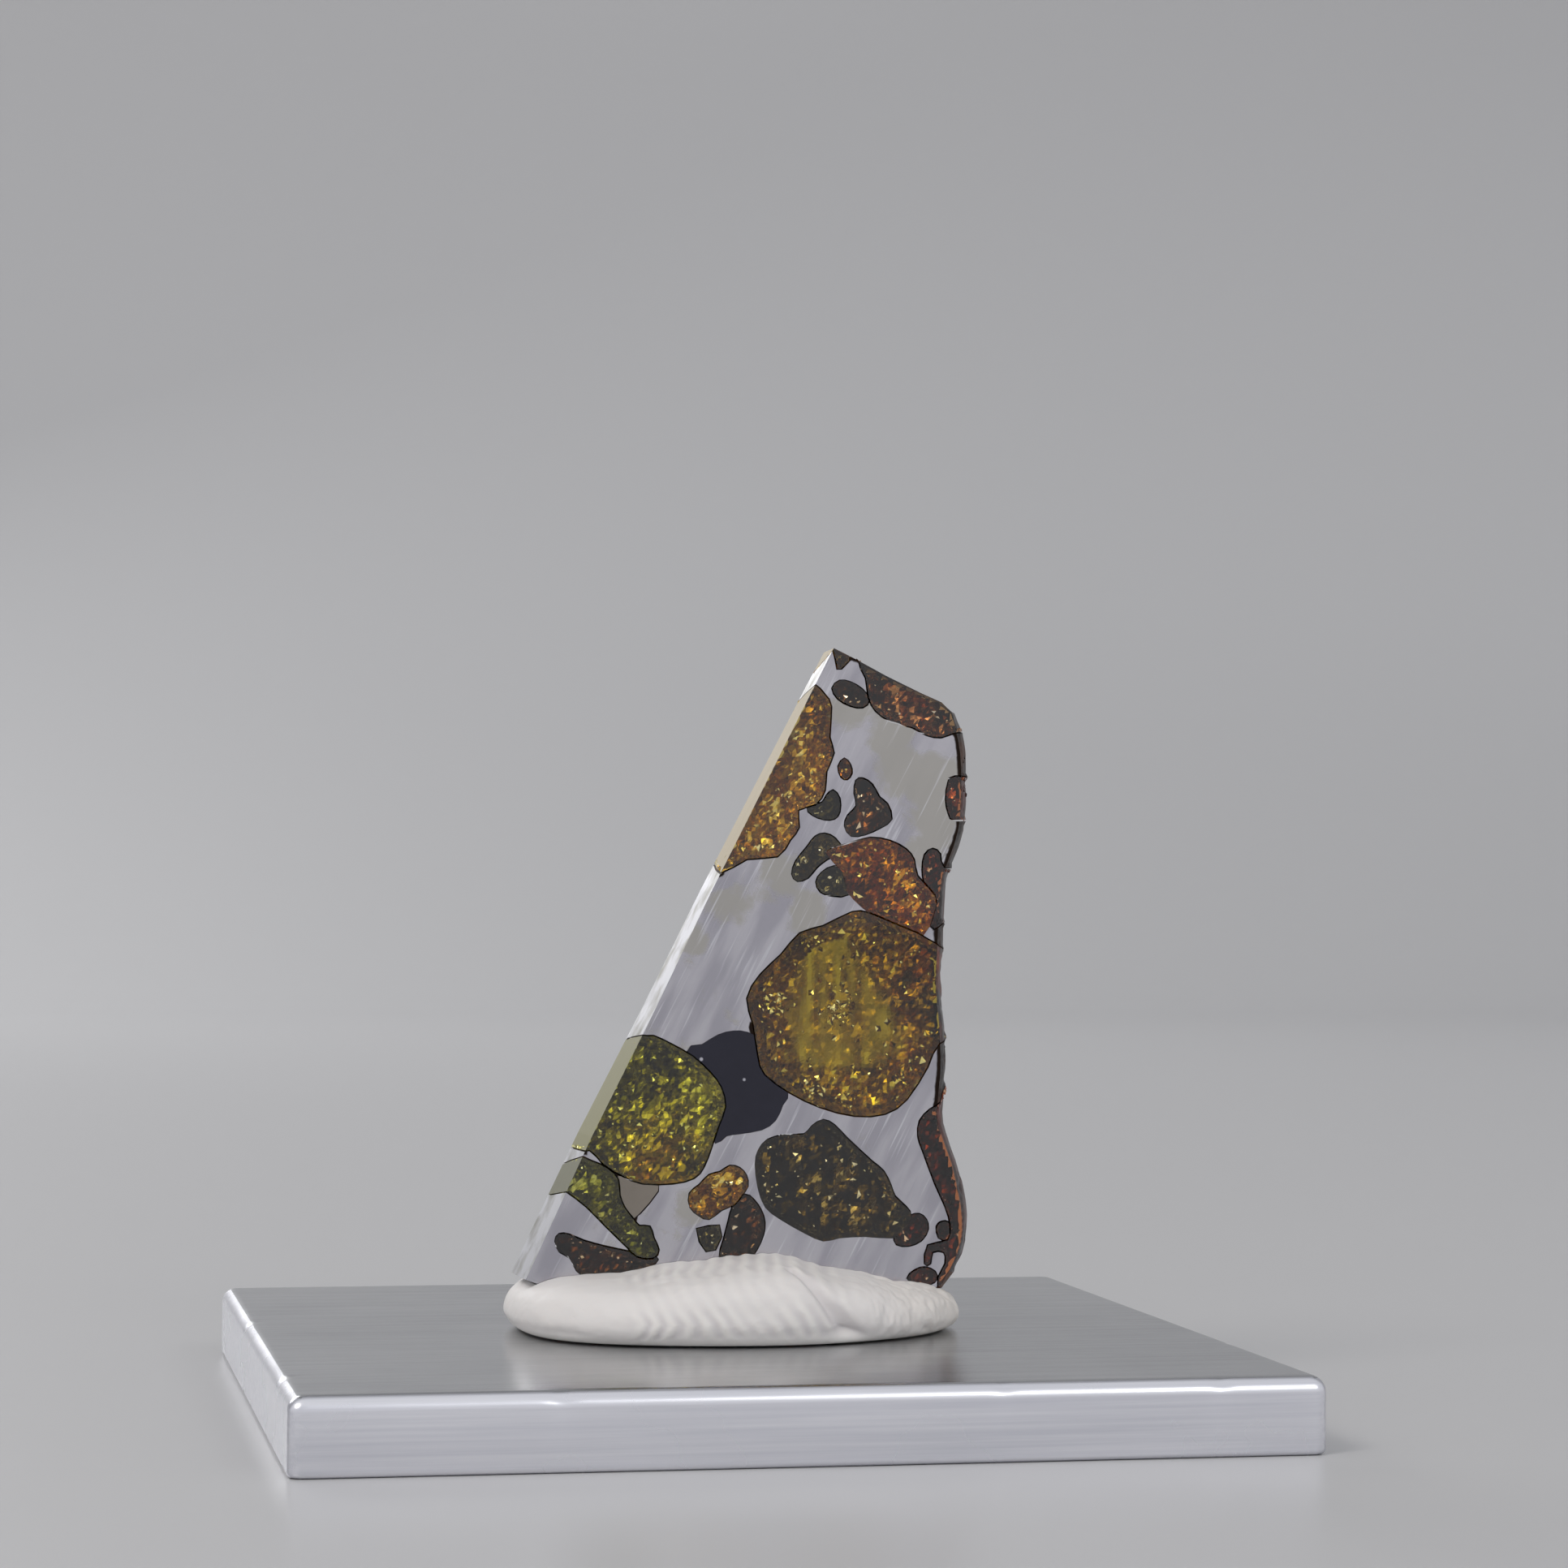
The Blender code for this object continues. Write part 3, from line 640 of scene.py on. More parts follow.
@dataclass(frozen=True)
class DrawnAluminium:
    """Drawn aluminium flat bar: satin, with faint lines along X from the die."""

    name: str
    silver: str
    line: str
    contrast: float = 1.0
    roughness: float = 0.2

    def build(self) -> bpy.types.Material:
        """Makes the material. The drawing lines are drawn 0.15 mm apart so that they show."""
        material, tree, shader = new_material(self.name)
        place = place_of(tree)
        along = add_node(tree, "Mapping", None, {"Vector": place, "Scale": (0.016, 1.0, 1.0)})
        lines = add_node(tree, "TexNoise", None,
                         {"Vector": along.outputs["Vector"], "Scale": per_period(0.15), "Detail": 4.0,
                          "Roughness": 0.6})
        share = add_node(tree, "MapRange", None,
                         {"Value": lines.outputs["Fac"], "From Min": 0.30, "From Max": 0.70,
                          "To Min": 0.5 - 0.5 * self.contrast, "To Max": 0.5 + 0.5 * self.contrast})
        colour = add_node(tree, "Mix", {"data_type": "RGBA"},
                          {0: share.outputs["Result"], 6: rgba(self.line), 7: rgba(self.silver)})
        smudge = add_node(tree, "TexNoise", None,
                          {"Vector": place, "Scale": per_period(4.0), "Detail": 3.0})
        rough = add_node(tree, "MapRange", None,
                         {"Value": smudge.outputs["Fac"], "To Min": self.roughness - 0.06,
                          "To Max": self.roughness + 0.10})
        bump = add_node(tree, "Bump", None,
                        {"Height": lines.outputs["Fac"], "Strength": 0.10 * self.contrast,
                         "Distance": 0.01 * MM})
        set_inputs(tree, shader, {"Base Color": colour.outputs[2], "Metallic": 1.0,
                                  "Roughness": rough.outputs["Result"], "Normal": bump.outputs["Normal"]})
        return material


@dataclass(frozen=True)
class PaleFloor:
    """Smooth pale table top of the studio, a little glossy."""

    name: str = "pale floor"
    colour: str = "BFBFC0"
    roughness: float = 0.30

    def build(self) -> bpy.types.Material:
        """Makes the material."""
        material, tree, shader = new_material(self.name)
        set_inputs(tree, shader, {"Base Color": rgba(self.colour), "Roughness": self.roughness})
        return material


# Shapes


@dataclass
class SliceSurvey:
    """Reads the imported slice: what lies next to what, and the outlines of its grains."""

    nodes: dict[str, bpy.types.Object]
    tree: BVHTree = field(init=False)

    def __post_init__(self) -> None:
        """Builds one search tree over every solid of the slice."""
        points, faces = [], []
        for node in self.nodes.values():
            base = len(points)
            points += [tuple(v.co) for v in node.data.vertices]
            faces += [tuple(base + i for i in p.vertices) for p in node.data.polygons]
        self.tree = BVHTree.FromPolygons(points, faces)

    def zone(self, middle: Vector, normal: Vector) -> Zone:
        """Says what a face of the slice is.

        Args:
            middle: The middle of the face.
            normal: Its outward normal.

        Returns:
            The face's zone.
        """
        if abs(normal.y) > 0.999 and min(abs(middle.y - FRONT_Y), abs(middle.y - BACK_Y)) < PLANE_SLACK:
            return Zone.POLISHED
        start = middle + normal * (0.002 * MM)
        if self.tree.ray_cast(start, normal, GAP_REACH)[0] is not None:
            return Zone.BURIED
        if middle.z < FOOT_TOP and normal.z < -0.3:
            return Zone.SAWN
        return Zone.SAWN if float(np.dot(normal, CUT_NORMAL)) > 0.97 else Zone.RIND

    def merged(self, name: str) -> bmesh.types.BMesh:
        """Gives a merged copy of a node's mesh, with each face's zone as its material place."""
        solid = bmesh.new()
        solid.from_mesh(self.nodes[name].data)
        bmesh.ops.remove_doubles(solid, verts=solid.verts, dist=MERGE_DISTANCE)
        solid.normal_update()
        for face in solid.faces:
            face.material_index = self.zone(face.calc_center_median(), face.normal).value
        return solid

    def rim(self, name: str, side: Side) -> np.ndarray:
        """Gives the edges of a grain's polished face.

        Args:
            name: The node.
            side: Front or back.

        Returns:
            Array of edge, end and coordinate, with x and z of each end.
        """
        data = self.nodes[name].data
        places = np.array([v.co for v in data.vertices])
        keys, ids = np.unique(np.round(places / MERGE_DISTANCE / 2.0).astype(np.int64), axis=0,
                              return_inverse=True)
        spots = np.zeros((len(keys), 3))
        spots[ids.ravel()] = places
        faces = np.array([p.vertices[:] for p in data.polygons])
        flat = (np.abs(places[faces][:, :, 1] - side.value) < PLANE_SLACK).all(axis=1)
        faces = ids.ravel()[faces[flat]]
        edges = np.sort(np.concatenate((faces[:, :2], faces[:, 1:], faces[:, ::2])), axis=1)
        single, times = np.unique(edges, axis=0, return_counts=True)
        return spots[single[times == 1]][:, :, ::2]


def depth_inside(spots: np.ndarray, edges: np.ndarray) -> np.ndarray:
    """Gives how far points lie inside an outline, below zero outside it.

    A point is inside when a ray from it crosses an odd number of the edges. Its depth is the
    distance to the nearest edge.

    Args:
        spots: One row of x and z for each point.
        edges: Array of edge, end and coordinate.

    Returns:
        One signed distance for each point.
    """
    a, b = edges[None, :, 0], edges[None, :, 1]
    p = spots[:, None, :]
    run = b - a
    share = np.clip(((p - a) * run).sum(-1) / np.maximum((run ** 2).sum(-1), 1e-18), 0.0, 1.0)
    near = np.linalg.norm(a + run * share[..., None] - p, axis=-1).min(axis=1)
    spans = (a[..., 1] > p[..., 1]) != (b[..., 1] > p[..., 1])
    rise = np.where(np.abs(run[..., 1]) < 1e-15, 1e-15, run[..., 1])
    cross = a[..., 0] + (p[..., 1] - a[..., 1]) * run[..., 0] / rise
    odd = (spans & (p[..., 0] < cross)).sum(axis=1) % 2 == 1
    return np.where(odd, near, -near)


def split_long_edges(solid: bmesh.types.BMesh, zones: set[int], cell: float, rounds: int = 5) -> None:
    """Halves the long edges of the faces in some zones until none is longer than a cell."""
    for _ in range(rounds):
        long = [e for e in solid.edges
                if e.calc_length() > cell and any(f.material_index in zones for f in e.link_faces)]
        if not long:
            return
        bmesh.ops.subdivide_edges(solid, edges=long, cuts=1)
        bmesh.ops.triangulate(solid, faces=[f for f in solid.faces if len(f.verts) > 3])


def push_inwards(solid: bmesh.types.BMesh, zone: int, depth: np.ndarray) -> None:
    """Moves the vertices that only touch one zone inwards, each by its own depth."""
    solid.normal_update()
    solid.verts.ensure_lookup_table()
    for vertex, amount in zip(solid.verts, depth.tolist()):
        if vertex.link_faces and all(f.material_index == zone for f in vertex.link_faces):
            vertex.co -= vertex.normal * amount


def places_of(solid: bmesh.types.BMesh) -> np.ndarray:
    """Gives the coordinates of a bmesh's vertices as an array."""
    return np.array([v.co for v in solid.verts])


def rind_relief(points: np.ndarray) -> np.ndarray:
    """Gives how deep the weathered outside lies under the plain solid: soft lumps and small pits."""
    lumps = 0.5 + 0.5 * layered_noise(points, 1.1 * MM, 3, 71)
    pits = smooth_step(lattice_noise(points, 0.35 * MM, 75), 0.62, 0.9)
    return (0.07 * np.clip(lumps, 0.0, 1.0) + 0.05 * pits) * MM


def finish_bmesh(solid: bmesh.types.BMesh) -> bpy.types.Mesh:
    """Turns a bmesh to a mesh, with smooth shading on the weathered outside alone."""
    mesh = bpy.data.meshes.new("solid")
    for face in solid.faces:
        face.smooth = face.material_index == Zone.RIND.value
    solid.to_mesh(mesh)
    solid.free()
    return mesh


def middles_of(mesh: bpy.types.Mesh) -> np.ndarray:
    """Gives the middle of each face."""
    flat = np.zeros(len(mesh.polygons) * 3)
    mesh.polygons.foreach_get("center", flat)
    return flat.reshape(-1, 3)


def write_shares(mesh: bpy.types.Mesh, name: str, domain: str, values: np.ndarray) -> None:
    """Stores one number for each point or face under a name."""
    mesh.attributes.new(name, "FLOAT", domain).data.foreach_set("value", values.astype(np.float32))


@dataclass(frozen=True)
class Patch:
    """A round patch of a crystal that is lighter or darker, or more orange, than the rest (mm)."""

    x: float
    z: float
    radius: float
    tone: float = 0.0
    warm: float = 0.0
    calm: float = 0.0

    def away(self, points: np.ndarray) -> np.ndarray:
        """Gives how far points are from its middle, in radii."""
        return np.hypot(points[:, 0] - self.x * MM, points[:, 2] - self.z * MM) / (self.radius * MM)


@dataclass(frozen=True)
class CrackPattern:
    """How the facets of a crystal are coloured: crumpled cells, slow clouds and patches."""

    seed: int
    cell: float = 0.30 * MM
    level: float = 0.0
    warm: float = 0.0
    stretch: float = 1.0
    contrast: float = 1.0
    patches: tuple[Patch, ...] = ()

    def paint(self, mesh: bpy.types.Mesh) -> None:
        """Stores tone and warm on each face.

        The tone adds a random share of a large and a small cell and a slow cloud. It is darker along
        the borders of the large cells, a painted shade in the creases between facets, and each patch adds
        its own share along a bell curve.
        """
        middle = middles_of(mesh)
        squeezed = middle / np.array((1.0, 1.0, self.stretch))
        _, large, border = cell_pattern(squeezed, self.cell, self.seed)
        _, small, _ = cell_pattern(squeezed, 0.42 * self.cell, self.seed + 5)
        cloud = layered_noise(middle, 1.2 * MM, 2, self.seed + 9)
        # painted shade: the tone is darkened in the creases along the cell borders
        crease_shade = 1.0 - smooth_step(border, 0.02, 0.22)
        tone = 0.46 * large[:, 0] + 0.30 * small[:, 1] + 0.16 * cloud - 0.20 * crease_shade
        calm = np.full(len(middle), self.contrast)
        for patch in self.patches:
            calm *= 1.0 - patch.calm * np.exp(-(patch.away(middle) ** 4))
        tone = 0.48 + (tone - 0.36) * calm + self.level
        warm = self.warm + 0.08 * cloud
        for patch in self.patches:
            near = np.exp(-(patch.away(middle) ** 2) * 1.2)
            tone += patch.tone * near
            warm += patch.warm * near
        write_shares(mesh, "tone", "FACE", np.clip(tone, 0.0, 1.0))
        write_shares(mesh, "warm", "FACE", np.clip(warm, 0.0, 1.0))


@dataclass
class SliceMetal:
    """The nickel-iron of the slice, with its polished faces, saw cut and weathered outside."""

    survey: SliceSurvey
    face_cell: float = 0.24 * MM
    crust_width: float = 0.20 * MM
    tarnish: tuple[tuple[float, float, float], ...] = (
        (4.28, 17.81, 0.9), (5.40, 16.52, 0.9), (5.63, 15.23, 0.8), (4.51, 16.95, 0.9), (1.21, 13.90, 0.9),
        (2.10, 13.15, 0.8), (0.01, 13.24, 0.8), (-1.18, 12.17, 0.6), (3.2, 18.4, 0.7), (5.2, 14.6, 0.6),
        (-1.0, 5.2, 0.5),
    )

    def build(self) -> bpy.types.Object:
        """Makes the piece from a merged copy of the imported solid."""
        solid = self.survey.merged("nickel_iron")
        split_long_edges(solid, {Zone.RIND.value}, RIND_CELL)
        split_long_edges(solid, {Zone.POLISHED.value}, self.face_cell, 7)
        push_inwards(solid, Zone.RIND.value, rind_relief(places_of(solid)))
        solid.faces.ensure_lookup_table()
        rind = [f for f in solid.faces if f.material_index == Zone.RIND.value]
        rind_tree = BVHTree.FromPolygons([v.co for v in solid.verts],
                                         [[v.index for v in f.verts] for f in rind])
        away = np.array([rind_tree.find_nearest(v.co)[3] for v in solid.verts])
        mesh = finish_bmesh(solid)
        places = np.array([v.co for v in mesh.vertices])
        spots = np.zeros(len(places))
        for spot in self.tarnish:
            spots = np.maximum(spots, np.exp(-Patch(*spot).away(places) ** 2))
        write_shares(mesh, "tarnish", "POINT", spots)
        write_shares(mesh, "crust", "POINT", 1.0 - smooth_step(away, 0.0, self.crust_width))
        # The buried pocket walls are dark brown, partly a stain and partly painted shade, so the thin gaps
        # round the grains show as dark outlines.
        stain = CrackedOlivine("stained and shaded pocket wall", ("1A100A", "2A180C", "4A2C12", "6A4420"),
                               metallic=0.1, roughness=0.5)
        CrackPattern(5).paint(mesh)
        materials = [PolishedNickelIron().build(), SawnNickelIron().build(),
                     WeatheredRind("weathered iron rind").build(), stain.build()]
        return mesh_object("slice_metal", mesh, materials, ("nickel_iron",))


@dataclass(frozen=True)
class Olivine:
    """One colour of olivine, with the finishes of its clear body, saw cut, cracks, outside and glints."""

    name: str
    through: str
    tones: tuple[str, str, str, str]
    glint: str
    rust: str
    frost: str

    @property
    def slot(self) -> str:
        """The record's material slot."""
        return f"olivine_{self.name}"

    def build(self) -> dict[str, bpy.types.Material]:
        """Makes the finishes.

        Returns:
            The materials by kind and colour, such as clear amber.
        """
        finishes = {
            "clear": ClearOlivine(f"clear {self.name} olivine", self.through),
            "sawn": ClearOlivine(f"sawn {self.name} olivine", self.through, roughness=0.5, frost=self.frost,
                                 clearness=0.25),
            "cracked": CrackedOlivine(f"cracked {self.name} olivine", self.tones),
            "rind": WeatheredRind(f"weathered {self.name} olivine", dark="1E0E08", rust=self.rust,
                                  roughness=0.26),
            "glint": Glint(f"{self.name} glint", self.glint),
        }
        return {f"{kind} {self.name}": finish.build() for kind, finish in finishes.items()}


# Light through the slice, cracks from dark to light, glint, rust of the outside, frosted saw cut
OLIVINES = {row[0]: Olivine(*row) for row in (
    ("amber", "CCB020", ("4A3608", "B8941C", "F0D048", "FFF8B8"), "FFF0A0", "8A3A10", "A8904A"),
    ("honey", "E4B430", ("5A2C08", "CC8C1C", "F8C03C", "FFF4B0"), "FFEC80", "7A3210", "A8804A"),
    ("gold", "F0D060", ("5E3E0C", "D0A030", "FADC64", "FFFAD0"), "FFF4A0", "8A5A20", "BFAE88"),
    ("lime", "D0CC28", ("38340A", "9A9414", "DCD22E", "FFFBA8"), "FCFAB0", "8A7A20", "8F8B5C"),
    ("green", "C4C460", ("3A3A10", "8E8E2C", "CCC65A", "F8F8BC"), "F4F4B8", "5A5420", "77765A"),
    ("olive", "C4B878", ("2E2818", "746A3E", "B8AC74", "F6EECC"), "F6F0D4", "4A3A1C", "77705A"),
    ("bronze", "C4AC5C", ("1E1A0C", "5E4E20", "C0A650", "FFF4C4"), "FCF2CC", "4A3418", "77705A"),
    ("umber", "BC9058", ("20120A", "66401F", "B0783E", "FFE0B0"), "FCF6EE", "4A2A16", "6E5A48"),
    ("garnet", "D07C44", ("2E1006", "7E3816", "D0723A", "FFCC98"), "FFE4C8", "5A2010", "6E4A38"),
)}


@dataclass
class Crystal:
    """One olivine crystal: its clear body, the crackled veil inside it and its glints."""

    node: str
    colour: str
    survey: SliceSurvey
    finishes: dict[str, bpy.types.Material]
    seed: int
    pattern: CrackPattern
    facet: float = 0.16 * MM
    relief: float = 0.10 * MM
    veil_depth: float = 0.30
    veil_cell: float = 0.10 * MM
    veil_relief: float = 0.16 * MM
    veil_tilt: float = 0.55
    veil_thickness: float = 0.03 * MM
    window: tuple[tuple[float, float], ...] = ()
    window_cover: float = 0.75
    glints: int = 24
    glint_size: float = 0.075 * MM
    clusters: tuple[tuple[float, float, float, int], ...] = ()

    def build(self) -> list[bpy.types.Object]:
        """Makes the pieces of the crystal.

        Returns:
            The body, and the veil and glints where it has them.
        """
        pieces = [self.build_body(), self.build_veil()]
        if self.glints:
            pieces.append(self.build_glints())
        return [piece for piece in pieces if piece]

    def build_body(self) -> bpy.types.Object:
        """Makes the clear body, with its buried wall broken into small facets that reach inwards."""
        solid = self.survey.merged(self.node)
        split_long_edges(solid, {Zone.BURIED.value}, self.facet)
        split_long_edges(solid, {Zone.RIND.value}, RIND_CELL)
        draw = np.random.default_rng(self.seed).random(len(solid.verts))
        push_inwards(solid, Zone.BURIED.value, self.relief * draw)
        push_inwards(solid, Zone.RIND.value, rind_relief(places_of(solid)))
        mesh = finish_bmesh(solid)
        self.pattern.paint(mesh)
        materials = [self.finishes[f"{kind} {self.colour}"] for kind in ("clear", "sawn", "rind", "cracked")]
        return mesh_object(f"{self.node}_body", mesh, materials,
                           (self.node,))

    def build_veil(self) -> bpy.types.Object | None:
        """Makes the crackled veil: a sheet of crumpled facets at some depth inside the crystal.

        It is a square grid of x and z that keeps the cells inside the crystal's outline at that depth.
        Its depth is a level, plus slow noise, plus one tilted plane for each cell of the pattern.
        """
        front, back = (self.survey.rim(self.node, side) for side in Side)
        low, high = front.reshape(-1, 2).min(axis=0), front.reshape(-1, 2).max(axis=0)
        counts = np.maximum(np.ceil((high - low) / self.veil_cell).astype(int) + 1, 2)
        xs, zs = (np.linspace(low[k], high[k], counts[k]) for k in (0, 1))
        grid = np.stack(np.meshgrid(xs, zs, indexing="ij"), axis=-1).reshape(-1, 2)
        draw = np.random.default_rng(self.seed + 1)
        spots = grid + (draw.random(grid.shape) - 0.5) * self.veil_cell * 0.6
        share = self.veil_depth
        depth = (1 - share) * depth_inside(spots, front) + share * depth_inside(spots, back)
        inside = depth > 0.0
        points = np.stack((spots[:, 0], np.zeros(len(spots)), spots[:, 1]), axis=1)
        way, shares, _ = cell_pattern(points, self.pattern.cell, self.pattern.seed)
        tilt = (2.0 * shares[:, 1:] - 1.0) * self.veil_tilt * self.pattern.cell
        planes = way[:, 0] * tilt[:, 0] + way[:, 2] * tilt[:, 1]
        level = FRONT_Y + (BACK_Y - FRONT_Y) * share
        noise = layered_noise(points, 0.9 * MM, 3, self.seed)
        points[:, 1] = level + self.veil_relief * noise + planes
        index = np.arange(len(points)).reshape(counts)
        a, b = index[:-1, :-1].ravel(), index[1:, :-1].ravel()
        c, d = index[1:, 1:].ravel(), index[:-1, 1:].ravel()
        faces = np.concatenate((np.stack((a, b, c), axis=1), np.stack((a, c, d), axis=1)))
        faces = faces[inside[faces].all(axis=1)]
        if not len(faces):
            return None
        used, renumbered = np.unique(faces, return_inverse=True)
        mesh = raw_mesh("veil", points[used], renumbered.reshape(-1, 3), False)
        self.pattern.paint(mesh)
        finish = self.finishes[f"cracked {self.colour}"]
        if self.window:
            self.clear_window(mesh)
            finish = CrackedOlivine("streaked olivine", OLIVINES[self.colour].tones, streaked=True).build()
        piece = mesh_object(f"{self.node}_veil", mesh, [finish])
        solid = piece.modifiers.new("thickness", "SOLIDIFY")
        solid.thickness = self.veil_thickness
        solid.offset = 0.0
        return piece

    def clear_window(self, mesh: bpy.types.Mesh) -> None:
        """Stores how much each face of the veil covers: all of it outside the window, streaks inside."""
        corners = np.array(self.window) * MM
        frame_edges = np.stack((corners, np.roll(corners, -1, axis=0)), axis=1)
        middle = middles_of(mesh)
        depth = depth_inside(middle[:, ::2], frame_edges)
        streaks = lattice_noise(middle * (2.6, 1.0, 0.40), 0.50 * MM, self.seed + 3)
        ragged = 0.25 * MM * (lattice_noise(middle, 0.25 * MM, self.seed + 4) - 0.5)
        open_share = smooth_step(depth + ragged, -0.05 * MM, 0.35 * MM)
        write_shares(mesh, "cover", "FACE", 1.0 - open_share * (1.0 - self.window_cover * streaks))

    def build_glints(self) -> bpy.types.Object:
        """Makes the glints: flat eight-sided chips near the crystal's wall and in a few clusters."""
        data = self.survey.nodes[self.node].data
        tree = BVHTree.FromPolygons([v.co for v in data.vertices], [p.vertices for p in data.polygons])
        low, high = (np.array(corner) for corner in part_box(self.node))
        draw = np.random.default_rng(self.seed + 2)
        spots = []
        for _ in range(self.glints * 60):
            if len(spots) >= self.glints:
                break
            spot = low + (high - low) * draw.random(3)
            spot[1] = FRONT_Y + 0.2 * MM + 0.5 * MM * draw.random()
            near, normal, _, distance = tree.find_nearest(Vector(spot))
            inside = (Vector(spot) - near).dot(normal) < 0.0
            if inside and 1.2 * self.glint_size < distance < 0.45 * MM:
                spots.append(spot)
        for x, z, spread, count in self.clusters:
            cloud = draw.normal(size=(count, 3)) * spread
            cloud += (x, FRONT_Y + 0.35 * MM, z)
            cloud[:, 1] = np.clip(cloud[:, 1], FRONT_Y + 0.12 * MM, FRONT_Y + 0.5 * MM)
            spots += list(cloud)
        centres = np.array(spots)
        size = self.glint_size * (0.45 + 1.1 * draw.random(len(centres)) ** 2)
        tilt = draw.normal(size=(len(centres), 3)) * (0.40, 0.0, 0.40) + (0.0, 1.0, 0.0)
        tilt /= np.linalg.norm(tilt, axis=1)[:, None]
        turn = draw.normal(size=(len(centres), 3))
        first = np.cross(tilt, turn)
        first /= np.linalg.norm(first, axis=1)[:, None]
        second = np.cross(tilt, first)
        stretch = (0.6 + 0.9 * draw.random(len(centres)))[:, None]
        bulge = tilt * 0.18
        arms = np.stack((first * stretch, second, -first * stretch, -second, bulge, -bulge), axis=1)
        points = centres[:, None, :] + arms * size[:, None, None]
        sides = [(i, (i + 1) % 4) for i in range(4)]
        chip = np.array([(a, b, 4) for a, b in sides] + [(b, a, 5) for a, b in sides])
        faces = (chip[None] + 6 * np.arange(len(centres))[:, None, None]).reshape(-1, 3)
        mesh = raw_mesh("glints", points.reshape(-1, 3), faces, False)
        return mesh_object(f"{self.node}_glints", mesh, [self.finishes[f"glint {self.colour}"]])


@dataclass
class OpaqueGrain:
    """A grain of an opaque mineral, polished flush with the metal."""

    node: str
    slot: str
    survey: SliceSurvey
    finish: PolishedOpaque

    def build(self) -> bpy.types.Object:
        """Makes the grain from a merged copy of its solid."""
        solid = self.survey.merged(self.node)
        for face in solid.faces:
            face.material_index = 0
        mesh = finish_bmesh(solid)
        return mesh_object(f"{self.node}_polished", mesh, [self.finish.build()], (self.node,))


@dataclass
class Plate:
    """The aluminium plate: a square of drawn flat bar with rolled edges and small dents."""

    side: float = 25.0 * MM
    thickness: float = 1.9 * MM
    corner: float = 0.35 * MM
    corner_share: float = 0.6
    least_corner: float = 0.02 * MM
    top_roll: float = 0.38 * MM
    foot_roll: float = 0.16 * MM
    straight_steps: int = 150
    corner_steps: int = 8
    roll_steps: int = 8
    dents: tuple[tuple[float, float, float, float], ...] = (
        (-6.2, -12.4, 0.22, 0.035), (4.4, -12.4, 0.18, 0.03), (9.8, -12.4, 0.20, 0.035),
        (-12.4, 3.1, 0.25, 0.04), (12.4, -5.4, 0.22, 0.04), (-12.4, -8.8, 0.25, 0.04),
        (1.9, 12.4, 0.25, 0.04),
    )

    def outline(self, inset: np.ndarray) -> np.ndarray:
        """Gives rings of a square with round corners, each drawn in by its inset."""
        radius = np.maximum(self.corner - inset * self.corner_share, self.least_corner)[:, None]
        reach = (self.side / 2 - inset)[:, None] - radius
        turns = np.linspace(0.0, math.pi / 2, self.corner_steps + 1)
        arcs = []
        for quarter, (sx, sy) in enumerate(((1, 1), (-1, 1), (-1, -1), (1, -1))):
            angle = turns + quarter * math.pi / 2
            arcs.append(np.stack((sx * reach + radius * np.cos(angle),
                                  sy * reach + radius * np.sin(angle)), axis=-1))
        share = np.linspace(0.0, 1.0, self.straight_steps + 1)[1:-1, None]
        runs = []
        for arc, after in zip(arcs, arcs[1:] + arcs[:1]):
            runs += [arc, arc[:, -1:] * (1 - share) + after[:, :1] * share]
        return np.concatenate(runs, axis=1)

    def build(self) -> bpy.types.Object:
        """Makes the plate as rings from the middle of its underside to the middle of its top.

        The rolled edges are quarter circles. A dent lowers the edge along a bell curve round its place.
        """
        foot = np.linspace(0.0, math.pi / 2, self.roll_steps + 1)
        under = np.array((8.0, 4.0)) * MM
        inner = np.array((0.6, 1.2, 2.4, 4.8, 8.4)) * MM
        inset = np.concatenate((under, self.foot_roll * (1 - np.sin(foot)),
                                self.top_roll * (1 - np.cos(foot)), inner))
        level = np.concatenate((np.zeros(len(under)), self.foot_roll * (1 - np.cos(foot)),
                                self.thickness - self.top_roll * (1 - np.sin(foot)),
                                np.full(len(inner), self.thickness)))
        rings = self.outline(inset)
        points = np.concatenate((rings, np.broadcast_to(level[:, None, None], (*rings.shape[:2], 1))), axis=2)
        edge = smooth_step(points[..., 2], self.thickness - 1.5 * self.top_roll, self.thickness)
        near_edge = smooth_step(-np.broadcast_to(inset[:, None], points.shape[:2]), -0.9 * MM, -0.1 * MM)
        for x, y, width, depth in self.dents:
            away = np.hypot(points[..., 0] - x * MM, points[..., 1] - y * MM)
            dent = depth * MM * np.exp(-(away / (width * MM)) ** 2) * edge * near_edge
            points[..., 2] -= dent
            points[..., :2] *= (1 - 0.5 * dent / (self.side / 2))[..., None]
        mesh = wrapped_grid(points, "plate")
        normals = np.zeros(len(mesh.polygons) * 3)
        mesh.polygons.foreach_get("normal", normals)
        mesh.polygons.foreach_set("material_index", (np.abs(normals[2::3]) < 0.9).astype(np.int32))
        # The side faces get a lighter, rougher copy of the aluminium with fainter lines: partly the finish of
        # the edges, partly painted light.
        materials = [DrawnAluminium("brushed aluminium face", "D2D3D5", "B2B4B7").build(),
                     DrawnAluminium("cut aluminium edge with painted light", "EFEFF4", "D9DAE2", 0.8, 0.26).build()]
        return mesh_object("plate_aluminium", mesh, materials, ("base_plate",))


